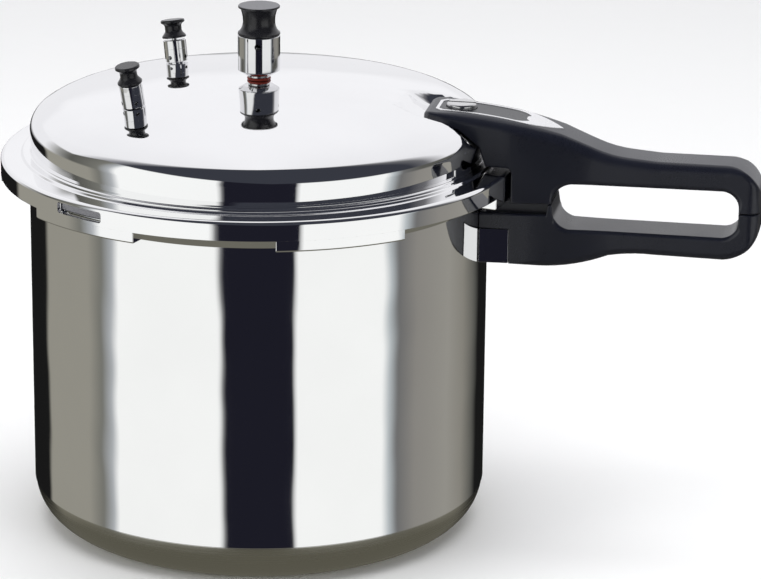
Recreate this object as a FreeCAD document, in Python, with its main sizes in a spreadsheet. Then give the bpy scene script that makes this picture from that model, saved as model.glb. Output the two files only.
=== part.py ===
"""Pressure canner: pot, bayonet lid, two-part handle, weighted regulator, two spring safety valves
and a canning rack.

Frame: origin at the centre of the pot's flat base, +Z up, +X along the handle. Millimetres.
"""
import FreeCAD, Part
import math
import os
import Sketcher
from FreeCAD import Placement, Rotation, Vector

# ---------------------------------------------------------------- driving dimensions

DIMENSIONS = (
    ("pot_diameter", 240.0, "outside of the straight wall"),
    ("pot_height", 192.0, "floor of the stove to the top of the rim"),
    ("pot_wall", 3.0, "wall of the pot"),
    ("base_thickness", 5.0, "bottom of the pot"),
    ("base_flat_diameter", 202.0, "flat disc that stands on the stove"),
    ("base_curve_radius", 24.0, "outside curve from the flat disc to the wall"),
    ("base_band_height", 22.0, "height of the satin band round the base"),
    ("base_band_step", 0.4, "how far the band is turned below the wall"),
    ("inner_corner_radius", 16.0, "inside curve from floor to wall"),
    ("rim_thickness", 3.5, "turned-out rim of the pot"),
    ("rim_reach", 4.0, "rim beyond the wall between its lugs"),
    ("rim_root", 7.0, "sloping underside of the rim, down the wall"),
    ("rim_lug_angle", 27.0, "width of one rim lug, degrees"),
    ("lug_count", 6.0, "bayonet lugs on pot and lid"),
    ("gasket_height", 3.6, "rubber sealing ring"),
    ("gasket_width", 13.2, "rubber sealing ring, radially"),
    ("seat_gap", 0.3, "room between faces that seat on each other"),
    ("skirt_reach", 14.9, "outside of the lid skirt beyond the pot wall"),
    ("skirt_wall", 2.5, "lid skirt"),
    ("skirt_drop", 10.3, "flange top down to the skirt's edge"),
    ("lug_drop", 15.6, "flange top down to the bottom of a lid lug"),
    ("hook_reach", 5.0, "inner edge of a lid lug beyond the pot wall"),
    ("lid_lug_angle", 29.0, "width of one lid lug, degrees"),
    ("flange_thickness", 2.8, "flat rim of the lid over the gasket"),
    ("flange_edge", 2.2, "rounded outer edge of the flange"),
    ("step_rise", 1.8, "raised step round the dome's foot"),
    ("step_width", 4.4, "width of the raised step"),
    ("neck_inset", 1.0, "foot of the dome inside the pot wall radius"),
    ("dome_inset", 0.5, "widest part of the dome inside the pot wall radius"),
    ("dome_wide_rise", 13.0, "widest part of the dome above the flange"),
    ("dome_side_radius", 125.0, "bulge of the dome's side"),
    ("corner_radius", 10.4, "upper corner of the dome"),
    ("corner_angle", 35.0, "slope where the corner meets the shoulder, degrees"),
    ("shoulder_radius", 40.3, "shoulder between corner and crown"),
    ("shoulder_width", 19.5, "width of shoulder and corner together"),
    ("shoulder_rise", 28.0, "start of the shoulder above the flange"),
    ("crown_radius", 500.0, "crown of the lid"),
    ("lid_wall", 2.5, "sheet of the dome"),
    ("pocket_half_width", 19.5, "hollow in the lid for the handle's nose"),
    ("window_angle", 13.0, "gasket window in the skirt, degrees"),
    ("window_height", 5.9, "gasket window in the skirt"),
    ("window_drop", 8.2, "flange top down to the window's edge"),
    ("mark_width", 9.0, "stamped mark in the dome's side"),
    ("mark_height", 4.0, "stamped mark in the dome's side"),
    ("handle_length", 142.4, "end of the handle beyond the pot wall"),
    ("handle_split", 16.2, "flange top down to the joint between the handle halves"),
    ("split_gap", 0.5, "gap between the handle halves"),
    ("root_half_width", 18.0, "upper handle at the lid"),
    ("grip_half_width", 13.2, "both handles at the grip"),
    ("lower_half_width", 16.0, "lower handle at the pot"),
    ("web_half_width", 11.0, "middle of the lower handle, raised to meet the upper half"),
    ("grip_thickness", 13.2, "upper grip bar over the finger opening"),
    ("finger_height", 24.4, "height of the finger opening"),
    ("badge_depth", 1.2, "trim plate let into the handle"),
    ("badge_proud", 0.3, "trim plate above the handle"),
    ("badge_half_width", 11.5, "trim plate"),
    ("screw_radius", 7.8, "slotted handle nut"),
    ("screw_inset", 13.2, "handle nut inside the pot wall radius"),
    ("stud_radius", 3.0, "stud under the handle nut"),
    ("guard_length", 14.4, "metal sleeve between pot and handle"),
    ("guard_half_width", 16.5, "metal sleeve between pot and handle"),
    ("guard_height", 18.0, "metal sleeve between pot and handle"),
    ("guard_wall", 1.0, "metal sleeve between pot and handle"),
    ("bracket_wall", 2.5, "bracket inside the sleeve"),
    ("bolt_radius", 2.5, "bolt of the lower handle"),
    ("rivet_radius", 2.0, "rivets of the bracket"),
    ("pipe_radius", 4.8, "vent pipe in the middle of the lid"),
    ("pipe_bore", 1.6, "steam way of the vent pipe"),
    ("pipe_top", 14.0, "vent pipe above the crown"),
    ("neck_ring_radius", 6.2, "seal ring at the foot of the vent pipe"),
    ("neck_ring_height", 1.3, "seal ring at the foot of the vent pipe"),
    ("weight_radius", 11.0, "regulator weight"),
    ("weight_rise", 3.1, "bottom of the weight above the crown"),
    ("weight_height", 20.7, "regulator weight"),
    ("steam_hole_radius", 1.6, "steam outlets of the weight"),
    ("knob_height", 15.5, "knob of the regulator"),
    ("knob_waist_radius", 8.65, "knob of the regulator"),
    ("valve_ring_radius", 73.0, "safety valves from the lid's axis"),
    ("valve_spread", 41.0, "safety valves either side of the rear, degrees"),
    ("valve_lean", 10.0, "safety valves lean outwards, degrees"),
    ("valve_radius", 6.0, "safety valve body"),
    ("valve_height", 12.3, "safety valve body above the lid"),
    ("valve_seam", 7.4, "joint between valve body and bonnet above the lid"),
    ("valve_shank_radius", 4.0, "threaded shank through the lid"),
    ("valve_stem_radius", 1.3, "stem of the valve plunger"),
    ("valve_hole_radius", 1.05, "steam outlets of a safety valve"),
    ("valve_knob_height", 9.7, "knob of a safety valve"),
    ("rack_radius", 111.0, "canning rack"),
    ("rack_thickness", 2.0, "canning rack"),
    ("rack_foot_height", 12.0, "canning rack above the pot's floor"),
    ("rack_foot_radius", 95.0, "ring of the rack's feet"),
    ("rack_hole_radius", 4.0, "water holes of the rack"),
)

document = FreeCAD.newDocument("pressure_canner")
sheet = document.addObject("Spreadsheet::Sheet", "dims")
for row, (alias, number, note) in enumerate(DIMENSIONS, start=1):
    sheet.set(f"A{row}", alias)
    sheet.set(f"B{row}", str(number))
    sheet.set(f"C{row}", note)
    sheet.setAlias(f"B{row}", alias)
document.recompute()


class Size:
    """A number that also knows the spreadsheet expression it comes from."""

    def __init__(self, value, text):
        self.value = value
        self.text = text

    def __add__(self, other):
        other = size(other)
        return Size(self.value + other.value, f"({self.text} + {other.text})")

    def __sub__(self, other):
        other = size(other)
        return Size(self.value - other.value, f"({self.text} - {other.text})")

    def __mul__(self, other):
        other = size(other)
        return Size(self.value * other.value, f"({self.text} * {other.text})")

    def __truediv__(self, other):
        other = size(other)
        return Size(self.value / other.value, f"({self.text} / {other.text})")

    def __neg__(self):
        return Size(-self.value, f"(0 - {self.text})")

    __radd__ = __add__

    def __rsub__(self, other):
        return size(other) - self


def size(number):
    """A Size from a plain number, or the Size itself."""
    return number if isinstance(number, Size) else Size(float(number), repr(float(number)))


def root(number):
    return Size(math.sqrt(number.value), f"sqrt({number.text})")


def cosine(angle):
    angle = size(angle)
    return Size(math.cos(math.radians(angle.value)), f"cos({angle.text})")


def sine(angle):
    angle = size(angle)
    return Size(math.sin(math.radians(angle.value)), f"sin({angle.text})")


class Dimensions:
    """The spreadsheet's cells as attributes."""

    def __getattr__(self, alias):
        return Size(float(sheet.get(alias)), f"dims.{alias}")


dims = Dimensions()
ZERO = size(0)

# ---------------------------------------------------------------- drawing and feature helpers


def bind(feature, prop, number):
    """Tie one property of a feature to the spreadsheet."""
    feature.setExpression(prop, size(number).text)


def origin_part(body, role):
    return next(item for item in body.Origin.OriginFeatures if item.Role == role)


def new_body(label):
    body = document.addObject("PartDesign::Body", label)
    body.Label = label
    return body


def pin_point(sketch, geometry, end, x, y):
    """Place one end of a sketch line or arc."""
    for kind, number, axis in (("DistanceX", x, -2), ("DistanceY", y, -1)):
        number = size(number)
        if number.text == ZERO.text:
            sketch.addConstraint(Sketcher.Constraint("PointOnObject", geometry, end, axis))
        else:
            index = sketch.addConstraint(
                Sketcher.Constraint(kind, -1, 1, geometry, end, number.value))
            sketch.setExpression(f"Constraints[{index}]", number.text)


def arc_between(start, finish, radius):
    """Arc from start to finish; a positive radius turns left, a negative one turns right."""
    chord = finish - start
    half = chord.Length / 2
    reach = abs(radius)
    if reach < half:
        raise ValueError(f"arc radius {reach:.3f} is shorter than half its chord {half:.3f}")
    side = 1 if radius > 0 else -1
    to_centre = Vector(-chord.y, chord.x, 0).normalize() * side * math.sqrt(reach ** 2 - half ** 2)
    centre = start + chord * 0.5 + to_centre
    first, last = (start, finish) if radius > 0 else (finish, start)
    angle_first = math.atan2(first.y - centre.y, first.x - centre.x)
    angle_last = math.atan2(last.y - centre.y, last.x - centre.x)
    if angle_last < angle_first:
        angle_last += 2 * math.pi
    return Part.ArcOfCircle(Part.Circle(centre, Vector(0, 0, 1), reach), angle_first, angle_last)


def draw_outline(sketch, corners):
    """Closed outline from (x, y) or (x, y, radius) corners; the radius bends the side that follows."""
    corners = [tuple(size(number) for number in corner) for corner in corners]
    ends = []
    for corner, following in zip(corners, corners[1:] + corners[:1]):
        start = Vector(corner[0].value, corner[1].value, 0)
        finish = Vector(following[0].value, following[1].value, 0)
        if len(corner) == 2:
            index = sketch.addGeometry(Part.LineSegment(start, finish), False)
            ends.append((index, 1, 2))
        else:
            radius = corner[2]
            index = sketch.addGeometry(arc_between(start, finish, radius.value), False)
            ends.append((index, 1, 2) if radius.value > 0 else (index, 2, 1))
    for (index, _, last), (following, first, _) in zip(ends, ends[1:] + ends[:1]):
        sketch.addConstraint(Sketcher.Constraint("Coincident", index, last, following, first))
    for corner, (index, first, _) in zip(corners, ends):
        pin_point(sketch, index, first, corner[0], corner[1])
        if len(corner) == 3:
            reach = corner[2] if corner[2].value > 0 else -corner[2]
            place = sketch.addConstraint(Sketcher.Constraint("Radius", index, reach.value))
            sketch.setExpression(f"Constraints[{place}]", reach.text)


def draw_circle(sketch, x, y, radius):
    x, y, radius = size(x), size(y), size(radius)
    circle = Part.Circle(Vector(x.value, y.value, 0), Vector(0, 0, 1), radius.value)
    index = sketch.addGeometry(circle, False)
    pin_point(sketch, index, 3, x, y)
    place = sketch.addConstraint(Sketcher.Constraint("Radius", index, radius.value))
    sketch.setExpression(f"Constraints[{place}]", radius.text)


def new_sketch(body, role, offset=ZERO):
    """Sketch on one of the body's own origin planes, moved along the plane's normal."""
    sketch = body.newObject("Sketcher::SketchObject", "sketch")
    sketch.AttachmentSupport = [(origin_part(body, role), "")]
    sketch.MapMode = "FlatFace"
    bind(sketch, "AttachmentOffset.Base.z", offset)
    return sketch


def revolve(body, outline, angle=360):
    """Turn an outline of the XZ plane about the body's Z axis, half the angle to each side."""
    sketch = new_sketch(body, "XZ_Plane")
    draw_outline(sketch, outline)
    turn = body.newObject("PartDesign::Revolution", "turn")
    turn.Profile = sketch
    turn.ReferenceAxis = (sketch, ["V_Axis"])
    turn.Midplane = True
    bind(turn, "Angle", angle)
    body.Tip = turn
    return turn


def pad(body, role, outline, length, offset=ZERO, symmetric=False):
    """Straight extrusion of an outline, along the plane's normal or to both sides."""
    sketch = new_sketch(body, role, offset)
    draw_outline(sketch, outline)
    block = body.newObject("PartDesign::Pad", "block")
    block.Profile = sketch
    if symmetric:
        block.SideType = "Symmetric"
    bind(block, "Length", length)
    body.Tip = block
    return block


def drill(body, holes, depth, offset):
    """Round holes (x, y, radius) cut downwards from a height above the body's XY plane."""
    sketch = new_sketch(body, "XY_Plane", offset)
    for x, y, radius in holes:
        draw_circle(sketch, x, y, radius)
    cut = body.newObject("PartDesign::Pocket", "holes")
    cut.Profile = sketch
    bind(cut, "Length", depth)
    body.Tip = cut
    return cut


def around(body, feature, count):
    """Repeat a feature evenly about the body's Z axis."""
    ring = body.newObject("PartDesign::PolarPattern", "ring")
    ring.Originals = [feature]
    ring.Axis = (origin_part(body, "Z_Axis"), [""])
    ring.Angle = 360
    bind(ring, "Occurrences", count)
    body.Tip = ring
    return ring


def boolean(kind, label, first, *others):
    """Part::Cut, Part::Common or Part::MultiFuse of finished objects."""
    result = document.addObject(f"Part::{kind}", label)
    result.Label = label
    if kind == "MultiFuse":
        result.Shapes = [first, *others]
    else:
        result.Base = first
        single = len(others) == 1
        result.Tool = others[0] if single else boolean("MultiFuse", f"{label}_tools", *others)
    return result


def cylinder(label, radius, low, high, x=ZERO, y=ZERO, axis=None):
    """Part::Cylinder from low to high, upright or along +X."""
    rod = document.addObject("Part::Cylinder", label)
    rod.Label = label
    if axis == "X":
        rod.Placement = Placement(Vector(), Rotation(Vector(0, 1, 0), 90))
        starts = (("x", low), ("y", x), ("z", y))
    else:
        starts = (("x", x), ("y", y), ("z", low))
    bind(rod, "Radius", radius)
    bind(rod, "Height", size(high) - low)
    for axis_name, number in starts:
        bind(rod, f"Placement.Base.{axis_name}", number)
    return rod


def box(label, low, high):
    """Part::Box between two opposite corners."""
    block = document.addObject("Part::Box", label)
    block.Label = label
    names = (("Length", "x"), ("Width", "y"), ("Height", "z"))
    for (prop, axis_name), first, last in zip(names, low, high):
        bind(block, prop, size(last) - first)
        bind(block, f"Placement.Base.{axis_name}", first)
    return block


def sector(inner, outer, half_angle):
    """Outline of a ring sector about the origin, centred on +X."""
    across, along = sine(half_angle), cosine(half_angle)
    return [
        (inner * along, -(inner * across)),
        (outer * along, -(outer * across), outer),
        (outer * along, outer * across),
        (inner * along, inner * across, -inner),
    ]


NODES = {}


def keep(node, shaped):
    """Name a finished sub-part as a node of the assembly."""
    shaped.Label = node
    NODES[node] = shaped
    return shaped


# ---------------------------------------------------------------- shared places

pot_radius = dims.pot_diameter / 2
inner_radius = pot_radius - dims.pot_wall
rim_top = dims.pot_height
rim_under = rim_top - dims.rim_thickness
skirt_radius = pot_radius + dims.skirt_reach
skirt_inner = skirt_radius - dims.skirt_wall
flange_under = rim_top + dims.gasket_height + dims.seat_gap * 2
flange_top = flange_under + dims.flange_thickness
skirt_bottom = flange_top - dims.skirt_drop
lug_bottom = flange_top - dims.lug_drop
hook_radius = pot_radius + dims.hook_reach
neck_radius = pot_radius - dims.neck_inset
dome_radius = pot_radius - dims.dome_inset
dome_wide = flange_top + dims.dome_wide_rise
shoulder_start = dome_radius - dims.shoulder_width
shoulder_top = flange_top + dims.shoulder_rise


def crown_drop(radius):
    """Fall of the crown from the lid's centre out to a radius."""
    return dims.crown_radius - root(dims.crown_radius * dims.crown_radius - radius * radius)


crown_top = shoulder_top + crown_drop(shoulder_start)
split_height = flange_top - dims.handle_split
handle_end = pot_radius + dims.handle_length
guard_low = flange_top - 49.0
guard_high = guard_low + dims.guard_height
tongue_low = guard_low + 8.0
tongue_high = tongue_low + dims.bracket_wall
plate_outside = pot_radius + dims.bracket_wall
rivet_heights = (guard_low + 4.6, guard_high - 4.2)
bolt_place = pot_radius + 22.0


def station(offset, rise):
    """A point of the handle, from the pot's wall and the lid's flange."""
    return pot_radius + offset, flange_top + rise


# ---------------------------------------------------------------- pot


def make_pot():
    body = new_body("pot_turned")
    band = pot_radius - dims.base_band_step
    corner = dims.inner_corner_radius
    revolve(body, [
        (ZERO, ZERO),
        (dims.base_flat_diameter / 2, ZERO, dims.base_curve_radius),
        (band, dims.base_band_height),
        (pot_radius, dims.base_band_height),
        (pot_radius, rim_under - dims.rim_root),
        (pot_radius + dims.rim_reach, rim_under),
        (pot_radius + dims.rim_reach, rim_top),
        (inner_radius, rim_top),
        (inner_radius, dims.base_thickness + corner, -corner),
        (inner_radius - corner, dims.base_thickness),
        (ZERO, dims.base_thickness),
    ])
    lug_outline = sector(pot_radius + 1, skirt_inner - dims.seat_gap * 2, dims.rim_lug_angle / 2)
    lug = pad(body, "XY_Plane", lug_outline, dims.rim_thickness, rim_under)
    around(body, lug, dims.lug_count)
    holes = [rivet_shank(f"pot_rivet_hole_{index}", height, 0.05)
             for index, height in enumerate(rivet_heights)]
    keep("pot_body", boolean("Cut", "pot_body", body, *holes))


def rivet_shank(label, height, clearance=0.0):
    """Straight part of a rivet through the pot wall and the bracket plate."""
    return cylinder(label, dims.rivet_radius + clearance, inner_radius - 2, plate_outside + 1,
                    ZERO, height, axis="X")


def wall_cutter(label, clearance):
    """The pot's outside as a solid, to shape what stands against the wall."""
    return cylinder(label, pot_radius + clearance, ZERO, rim_under)


def make_bracket():
    half_plate = dims.guard_half_width - 4
    half_tongue = dims.guard_half_width / 2
    plate = box("bracket_plate", (pot_radius - 3, -half_plate, guard_low + 1.4),
                (plate_outside, half_plate, guard_high - 1.4))
    tongue = box("bracket_tongue", (pot_radius + 1, -half_tongue, tongue_low),
                 (bolt_place + 8, half_tongue, tongue_high))
    holes = [rivet_shank(f"bracket_rivet_hole_{index}", height, 0.05)
             for index, height in enumerate(rivet_heights)]
    bolt_hole = cylinder("bracket_bolt_hole", dims.bolt_radius + 0.05, tongue_low - 1, tongue_high + 1,
                         bolt_place)
    blank = boolean("MultiFuse", "bracket_blank", plate, tongue)
    keep("pot_handle_bracket", boolean("Cut", "pot_handle_bracket", blank,
                                       wall_cutter("bracket_wall_shape", 0.05), bolt_hole, *holes))
    rivets = []
    for index, height in enumerate(rivet_heights):
        head = dims.rivet_radius * 1.6
        shank = cylinder(f"rivet_shank_{index}", dims.rivet_radius, inner_radius - 0.6,
                         plate_outside + 0.5, ZERO, height, axis="X")
        inside = cylinder(f"rivet_inside_{index}", head, inner_radius - 1.6, inner_radius - 0.1,
                          ZERO, height, axis="X")
        outside = cylinder(f"rivet_outside_{index}", head, plate_outside + 0.05, plate_outside + 1.6,
                           ZERO, height, axis="X")
        rivets.append(boolean("MultiFuse", f"rivet_{index}", shank, inside, outside))
    pair = document.addObject("Part::Compound", "bracket_rivets")
    pair.Links = rivets
    keep("bracket_rivets", pair)


def make_guard():
    half = dims.guard_half_width
    inner = half - dims.guard_wall
    outside = box("guard_outside", (pot_radius - 4, -half, guard_low),
                  (pot_radius + dims.guard_length, half, guard_high))
    inside = box("guard_inside", (pot_radius - 5, -inner, guard_low + dims.guard_wall),
                 (pot_radius + dims.guard_length + 1, inner, guard_high - dims.guard_wall))
    keep("flame_guard", boolean("Cut", "flame_guard", outside, inside,
                                wall_cutter("guard_wall_shape", dims.seat_gap)))


def grip_plan(nose, root_half, waist_start, waist_end):
    """Plan outline of a handle: wide at the pot, narrow at the grip, rounded at both ends."""
    grip = dims.grip_half_width
    end = handle_end
    nose_round = root_half * 0.45
    end_round = grip * 0.45
    return [
        (nose, -(root_half - nose_round)),
        (nose + nose_round, -root_half),
        (waist_start, -root_half),
        (waist_end, -grip),
        (end - end_round, -grip, end_round * 1.2),
        (end, -(grip - end_round)),
        (end, grip - end_round, end_round * 1.2),
        (end - end_round, grip),
        (waist_end, grip),
        (waist_start, root_half),
        (nose + nose_round, root_half),
        (nose, root_half - nose_round),
    ]


def shaped_handle(label, side, plan, low, high):
    """A handle from its side view and its plan view."""
    width = (dims.root_half_width + 4) * 2
    profile = new_body(f"{label}_side")
    pad(profile, "XZ_Plane", side, width, symmetric=True)
    outline = new_body(f"{label}_plan")
    pad(outline, "XY_Plane", plan, high - low, low)
    return boolean("Common", f"{label}_blank", profile, outline)


# heights of the finger opening, shared by both handle halves
finger_top = flange_top - 5.2
finger_low = finger_top - dims.finger_height
grip_top = finger_top + dims.grip_thickness
eye_start = pot_radius + 36.0
eye_end = handle_end - 10.8


def make_pot_handle():
    end = handle_end
    lip = split_height - dims.split_gap
    ledge = split_height - 6.0
    side = [
        (pot_radius - 3, guard_high + dims.seat_gap),
        (pot_radius + dims.guard_length + dims.seat_gap, guard_high + dims.seat_gap),
        (pot_radius + dims.guard_length + dims.seat_gap, guard_low),
        (pot_radius + 30.4, guard_low - 1, size(90)),
        (pot_radius + 65.6, flange_top - 42.9, size(-90)),
        (pot_radius + 89.0, flange_top - 41.2),
        (end - 18, flange_top - 41.6, size(20)),
        (end, flange_top - 24.0),
        (end, lip),
        (eye_end, lip),
        (eye_end, finger_low + 8.7, size(-9)),
        (eye_end - 8.7, finger_low),
        (eye_start + 9, finger_low, size(-10)),
        (eye_start + 1, finger_low + 8),
        (eye_start + 0.2, lip),
        (eye_start - 1.4, lip),
        (eye_start - 2.4, ledge),
        (pot_radius - 3, ledge),
    ]
    plan = grip_plan(pot_radius - 4, dims.lower_half_width, pot_radius + 30, pot_radius + 60)
    blank = shaped_handle("pot_handle", side, plan, guard_low - 4, split_height)
    web = box("pot_handle_web", (pot_radius + 2, -dims.web_half_width, ledge - 2),
              (eye_start - 1, dims.web_half_width, lip))
    solid = boolean("MultiFuse", "pot_handle_solid", blank, web)
    slot = box("pot_handle_slot", (pot_radius, -(dims.guard_half_width / 2 + 0.3), tongue_low - 0.3),
               (bolt_place + 8.3, dims.guard_half_width / 2 + 0.3, tongue_high + 0.3))
    shank = cylinder("pot_handle_bolt_hole", dims.bolt_radius + 0.3, guard_low - 5, guard_high,
                     bolt_place)
    head = cylinder("pot_handle_bolt_seat", dims.bolt_radius * 2 + 0.3, guard_low - 5, guard_low + 3,
                    bolt_place)
    keep("pot_handle", boolean("Cut", "pot_handle", solid, slot, shank, head,
                               wall_cutter("pot_handle_wall_shape", dims.seat_gap)))
    bolt_shank = cylinder("bolt_shank", dims.bolt_radius, guard_low + 1, guard_high - 1.5, bolt_place)
    bolt_head = cylinder("bolt_head", dims.bolt_radius * 2, guard_low + 0.2, guard_low + 2.7,
                         bolt_place)
    drive = box("bolt_drive", (bolt_place - 6, size(-0.6), guard_low),
                (bolt_place + 6, size(0.6), guard_low + 1.2))
    bolt = boolean("MultiFuse", "bolt_solid", bolt_shank, bolt_head)
    keep("pot_handle_bolt", boolean("Cut", "pot_handle_bolt", bolt, drive))


# ---------------------------------------------------------------- lid


def dome_outline(inset, low, side_low):
    """Half section of the dome's outside, or of its inside when inset by the sheet's thickness."""
    slope = shoulder_start / dims.crown_radius
    level = root(1 - slope * slope)
    lean, fall = sine(dims.corner_angle), cosine(dims.corner_angle)
    corner = dims.corner_radius
    return [
        (dome_radius - inset, dome_wide, corner - inset),
        (dome_radius - corner + lean * (corner - inset), dome_wide + fall * (corner - inset),
         dims.shoulder_radius - inset),
        (shoulder_start - slope * inset, shoulder_top - level * inset, dims.crown_radius - inset),
        (ZERO, crown_top - inset),
        (ZERO, low),
    ], (neck_radius - inset, side_low, dims.dome_side_radius - inset)


def pocket_side(rise, reach):
    """Side view of the hollow for the handle's nose: its floor, then well above the lid."""
    floor_points = [station(-34.0 - reach, 27.4 - rise), station(-31.2 - reach, 25.3 - rise),
                    station(-12.6, 20.9 - rise), station(-1.9 - rise * 0.6, 12.0 - rise * 0.2),
                    station(1.6 - rise, 3.6)]
    top = flange_top + 50
    return [*floor_points, (pot_radius + 8, flange_top + 3.6), (pot_radius + 8, top),
            (pot_radius - 34 - reach, top)]


def valve_places():
    """Azimuth of each safety valve, either side of the rear."""
    return (("a", dims.valve_spread + 180), ("b", 180 - dims.valve_spread))


valve_foot = crown_top - crown_drop(dims.valve_ring_radius)


def stand_on_lid(shaped, azimuth, rise=ZERO):
    """Move a piece modelled on its own Z axis to its valve's place, rise above the crown."""
    turn = math.radians(azimuth.value)
    tilt_axis = Vector(-math.sin(turn), math.cos(turn), 0)
    shaped.Placement = Placement(Vector(), Rotation(tilt_axis, dims.valve_lean.value))
    reach = dims.valve_ring_radius + sine(dims.valve_lean) * rise
    bind(shaped, "Placement.Base.x", reach * cosine(azimuth))
    bind(shaped, "Placement.Base.y", reach * sine(azimuth))
    bind(shaped, "Placement.Base.z", valve_foot + cosine(dims.valve_lean) * rise)
    bind(shaped, "Placement.Rotation.Angle", dims.valve_lean)
    return shaped


def make_lid():
    outside = new_body("lid_outside")
    dome, neck = dome_outline(ZERO, skirt_bottom, flange_top + dims.step_rise)
    step_outer = neck_radius + dims.step_width
    revolve(outside, [
        (skirt_radius, skirt_bottom),
        (skirt_radius, flange_top - dims.flange_edge, dims.flange_edge),
        (skirt_radius - dims.flange_edge, flange_top),
        (step_outer + 0.8, flange_top + 0.5),
        (step_outer, flange_top + dims.step_rise),
        neck,
        *dome,
    ])
    inside = new_body("lid_inside")
    dome, neck = dome_outline(dims.lid_wall, skirt_bottom - 1, flange_top + 1.2)
    revolve(inside, [
        (skirt_inner, skirt_bottom - 1),
        (skirt_inner, flange_under),
        (neck_radius - dims.lid_wall, flange_under),
        neck,
        *dome,
    ])
    pocket = new_body("lid_pocket")
    pad(pocket, "XZ_Plane", pocket_side(ZERO, ZERO), dims.pocket_half_width * 2, symmetric=True)
    under_pocket = new_body("lid_under_pocket")
    pad(under_pocket, "XZ_Plane", pocket_side(dims.lid_wall, dims.lid_wall),
        (dims.pocket_half_width + dims.lid_wall) * 2, symmetric=True)
    lid_outside = boolean("Cut", "lid_outside_shaped", outside, pocket)
    lid_inside = boolean("Cut", "lid_inside_shaped", inside, under_pocket)
    shell = boolean("Cut", "lid_sheet", lid_outside, lid_inside)

    lugs = new_body("lid_lugs")
    lug = revolve(lugs, [
        (hook_radius, lug_bottom),
        (skirt_radius - 1, lug_bottom, size(1.0)),
        (skirt_radius, lug_bottom + 1),
        (skirt_radius, skirt_bottom + 1),
        (skirt_inner, skirt_bottom + 1),
        (skirt_inner, rim_under - 0.4),
        (hook_radius, rim_under - 0.4),
    ], dims.lid_lug_angle)
    around(lugs, lug, dims.lug_count)

    window = new_body("lid_window")
    revolve(window, [
        (skirt_inner - 1, flange_top - dims.window_drop),
        (skirt_radius + 1, flange_top - dims.window_drop),
        (skirt_radius + 1, flange_top - dims.window_drop + dims.window_height),
        (skirt_inner - 1, flange_top - dims.window_drop + dims.window_height),
    ], dims.window_angle)
    window.Placement = Placement(Vector(), Rotation(Vector(0, 0, 1), -120))
    mark = box("lid_mark", (dome_radius - 2, -(dims.mark_width / 2), dome_wide - 9.6),
               (dome_radius + 4, dims.mark_width / 2, dome_wide - 9.6 + dims.mark_height))
    mark.Placement = Placement(Vector(), Rotation(Vector(0, 0, 1), -23.5)).multiply(mark.Placement)
    holes = [cylinder("lid_pipe_hole", dims.pipe_radius + 0.1, crown_top - 12, crown_top + 2)]
    for name, azimuth in valve_places():
        hole = cylinder(f"lid_valve_hole_{name}", dims.valve_shank_radius + 0.1, ZERO, size(12))
        holes.append(stand_on_lid(hole, azimuth, size(-9)))
    blank = boolean("MultiFuse", "lid_blank", shell, lugs)
    keep("lid_shell", boolean("Cut", "lid_shell", blank, window, *holes))
    return lid_outside


def make_gasket():
    outer = skirt_inner - dims.seat_gap
    inner = outer - dims.gasket_width
    low = rim_top + dims.seat_gap
    high = low + dims.gasket_height
    lip = dims.gasket_height / 4
    ring = new_body("gasket")
    revolve(ring, [
        (inner, low), (outer, low), (outer, high), (inner, high),
        (inner, high - lip), (inner + 5, low + lip * 2), (inner, low + lip),
    ])
    keep("gasket", ring)


def handle_top(rise):
    """Upper edge of the lid handle's side view from its waist back to the nose."""
    return [
        (pot_radius + 90.0, grip_top + rise),
        (pot_radius + 66.0, grip_top + 1.9 + rise),
        (pot_radius + 40.0, flange_top + 20.2 + rise, size(240)),
        (pot_radius - 24.0, flange_top + 29.6 + rise),
    ]


def badge_plan(inset):
    """Plan outline of the trim plate: cropped corners at the nose, a drop-shaped tip."""
    half = dims.badge_half_width - inset
    start = pot_radius - 25.5 + inset
    return [
        (start, -(half - 3)), (start + 3, -half), (pot_radius + 22, -half, size(42)),
        (pot_radius + 40 - inset, ZERO, size(42)), (pot_radius + 22, half), (start + 3, half),
        (start, half - 3),
    ]


def insert_plan(clearance):
    """Plan outline of the dark insert: it ends in a scalloped edge towards the grip."""
    half = dims.badge_half_width - 1.8 - clearance
    start = pot_radius - 23.7 + clearance
    end = pot_radius + 23.5 - clearance
    return [
        (start, -(half - 2.4)), (start + 2.4, -half), (end - 8, -half, size(9)),
        (end - 1, -(half * 0.45), size(-4)), (end - 2.5, ZERO, size(-4)),
        (end - 1, half * 0.45, size(9)), (end - 8, half), (start + 2.4, half),
        (start, half - 2.4),
    ]


def skin(label, low_rise, high_rise, plan):
    """Sheet that follows the top of the lid handle, cut to a plan outline."""
    upper = handle_top(high_rise)[2:]
    lower = [(point[0], point[1] + (low_rise - high_rise)) for point in upper]
    strip = new_body(f"{label}_strip")
    pad(strip, "XZ_Plane", [
        *upper, (lower[1][0], lower[1][1], size(-240)), lower[0],
    ], dims.root_half_width * 2, symmetric=True)
    outline = new_body(f"{label}_plan")
    pad(outline, "XY_Plane", plan, size(40), flange_top)
    return boolean("Common", f"{label}_skin", strip, outline)


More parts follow.
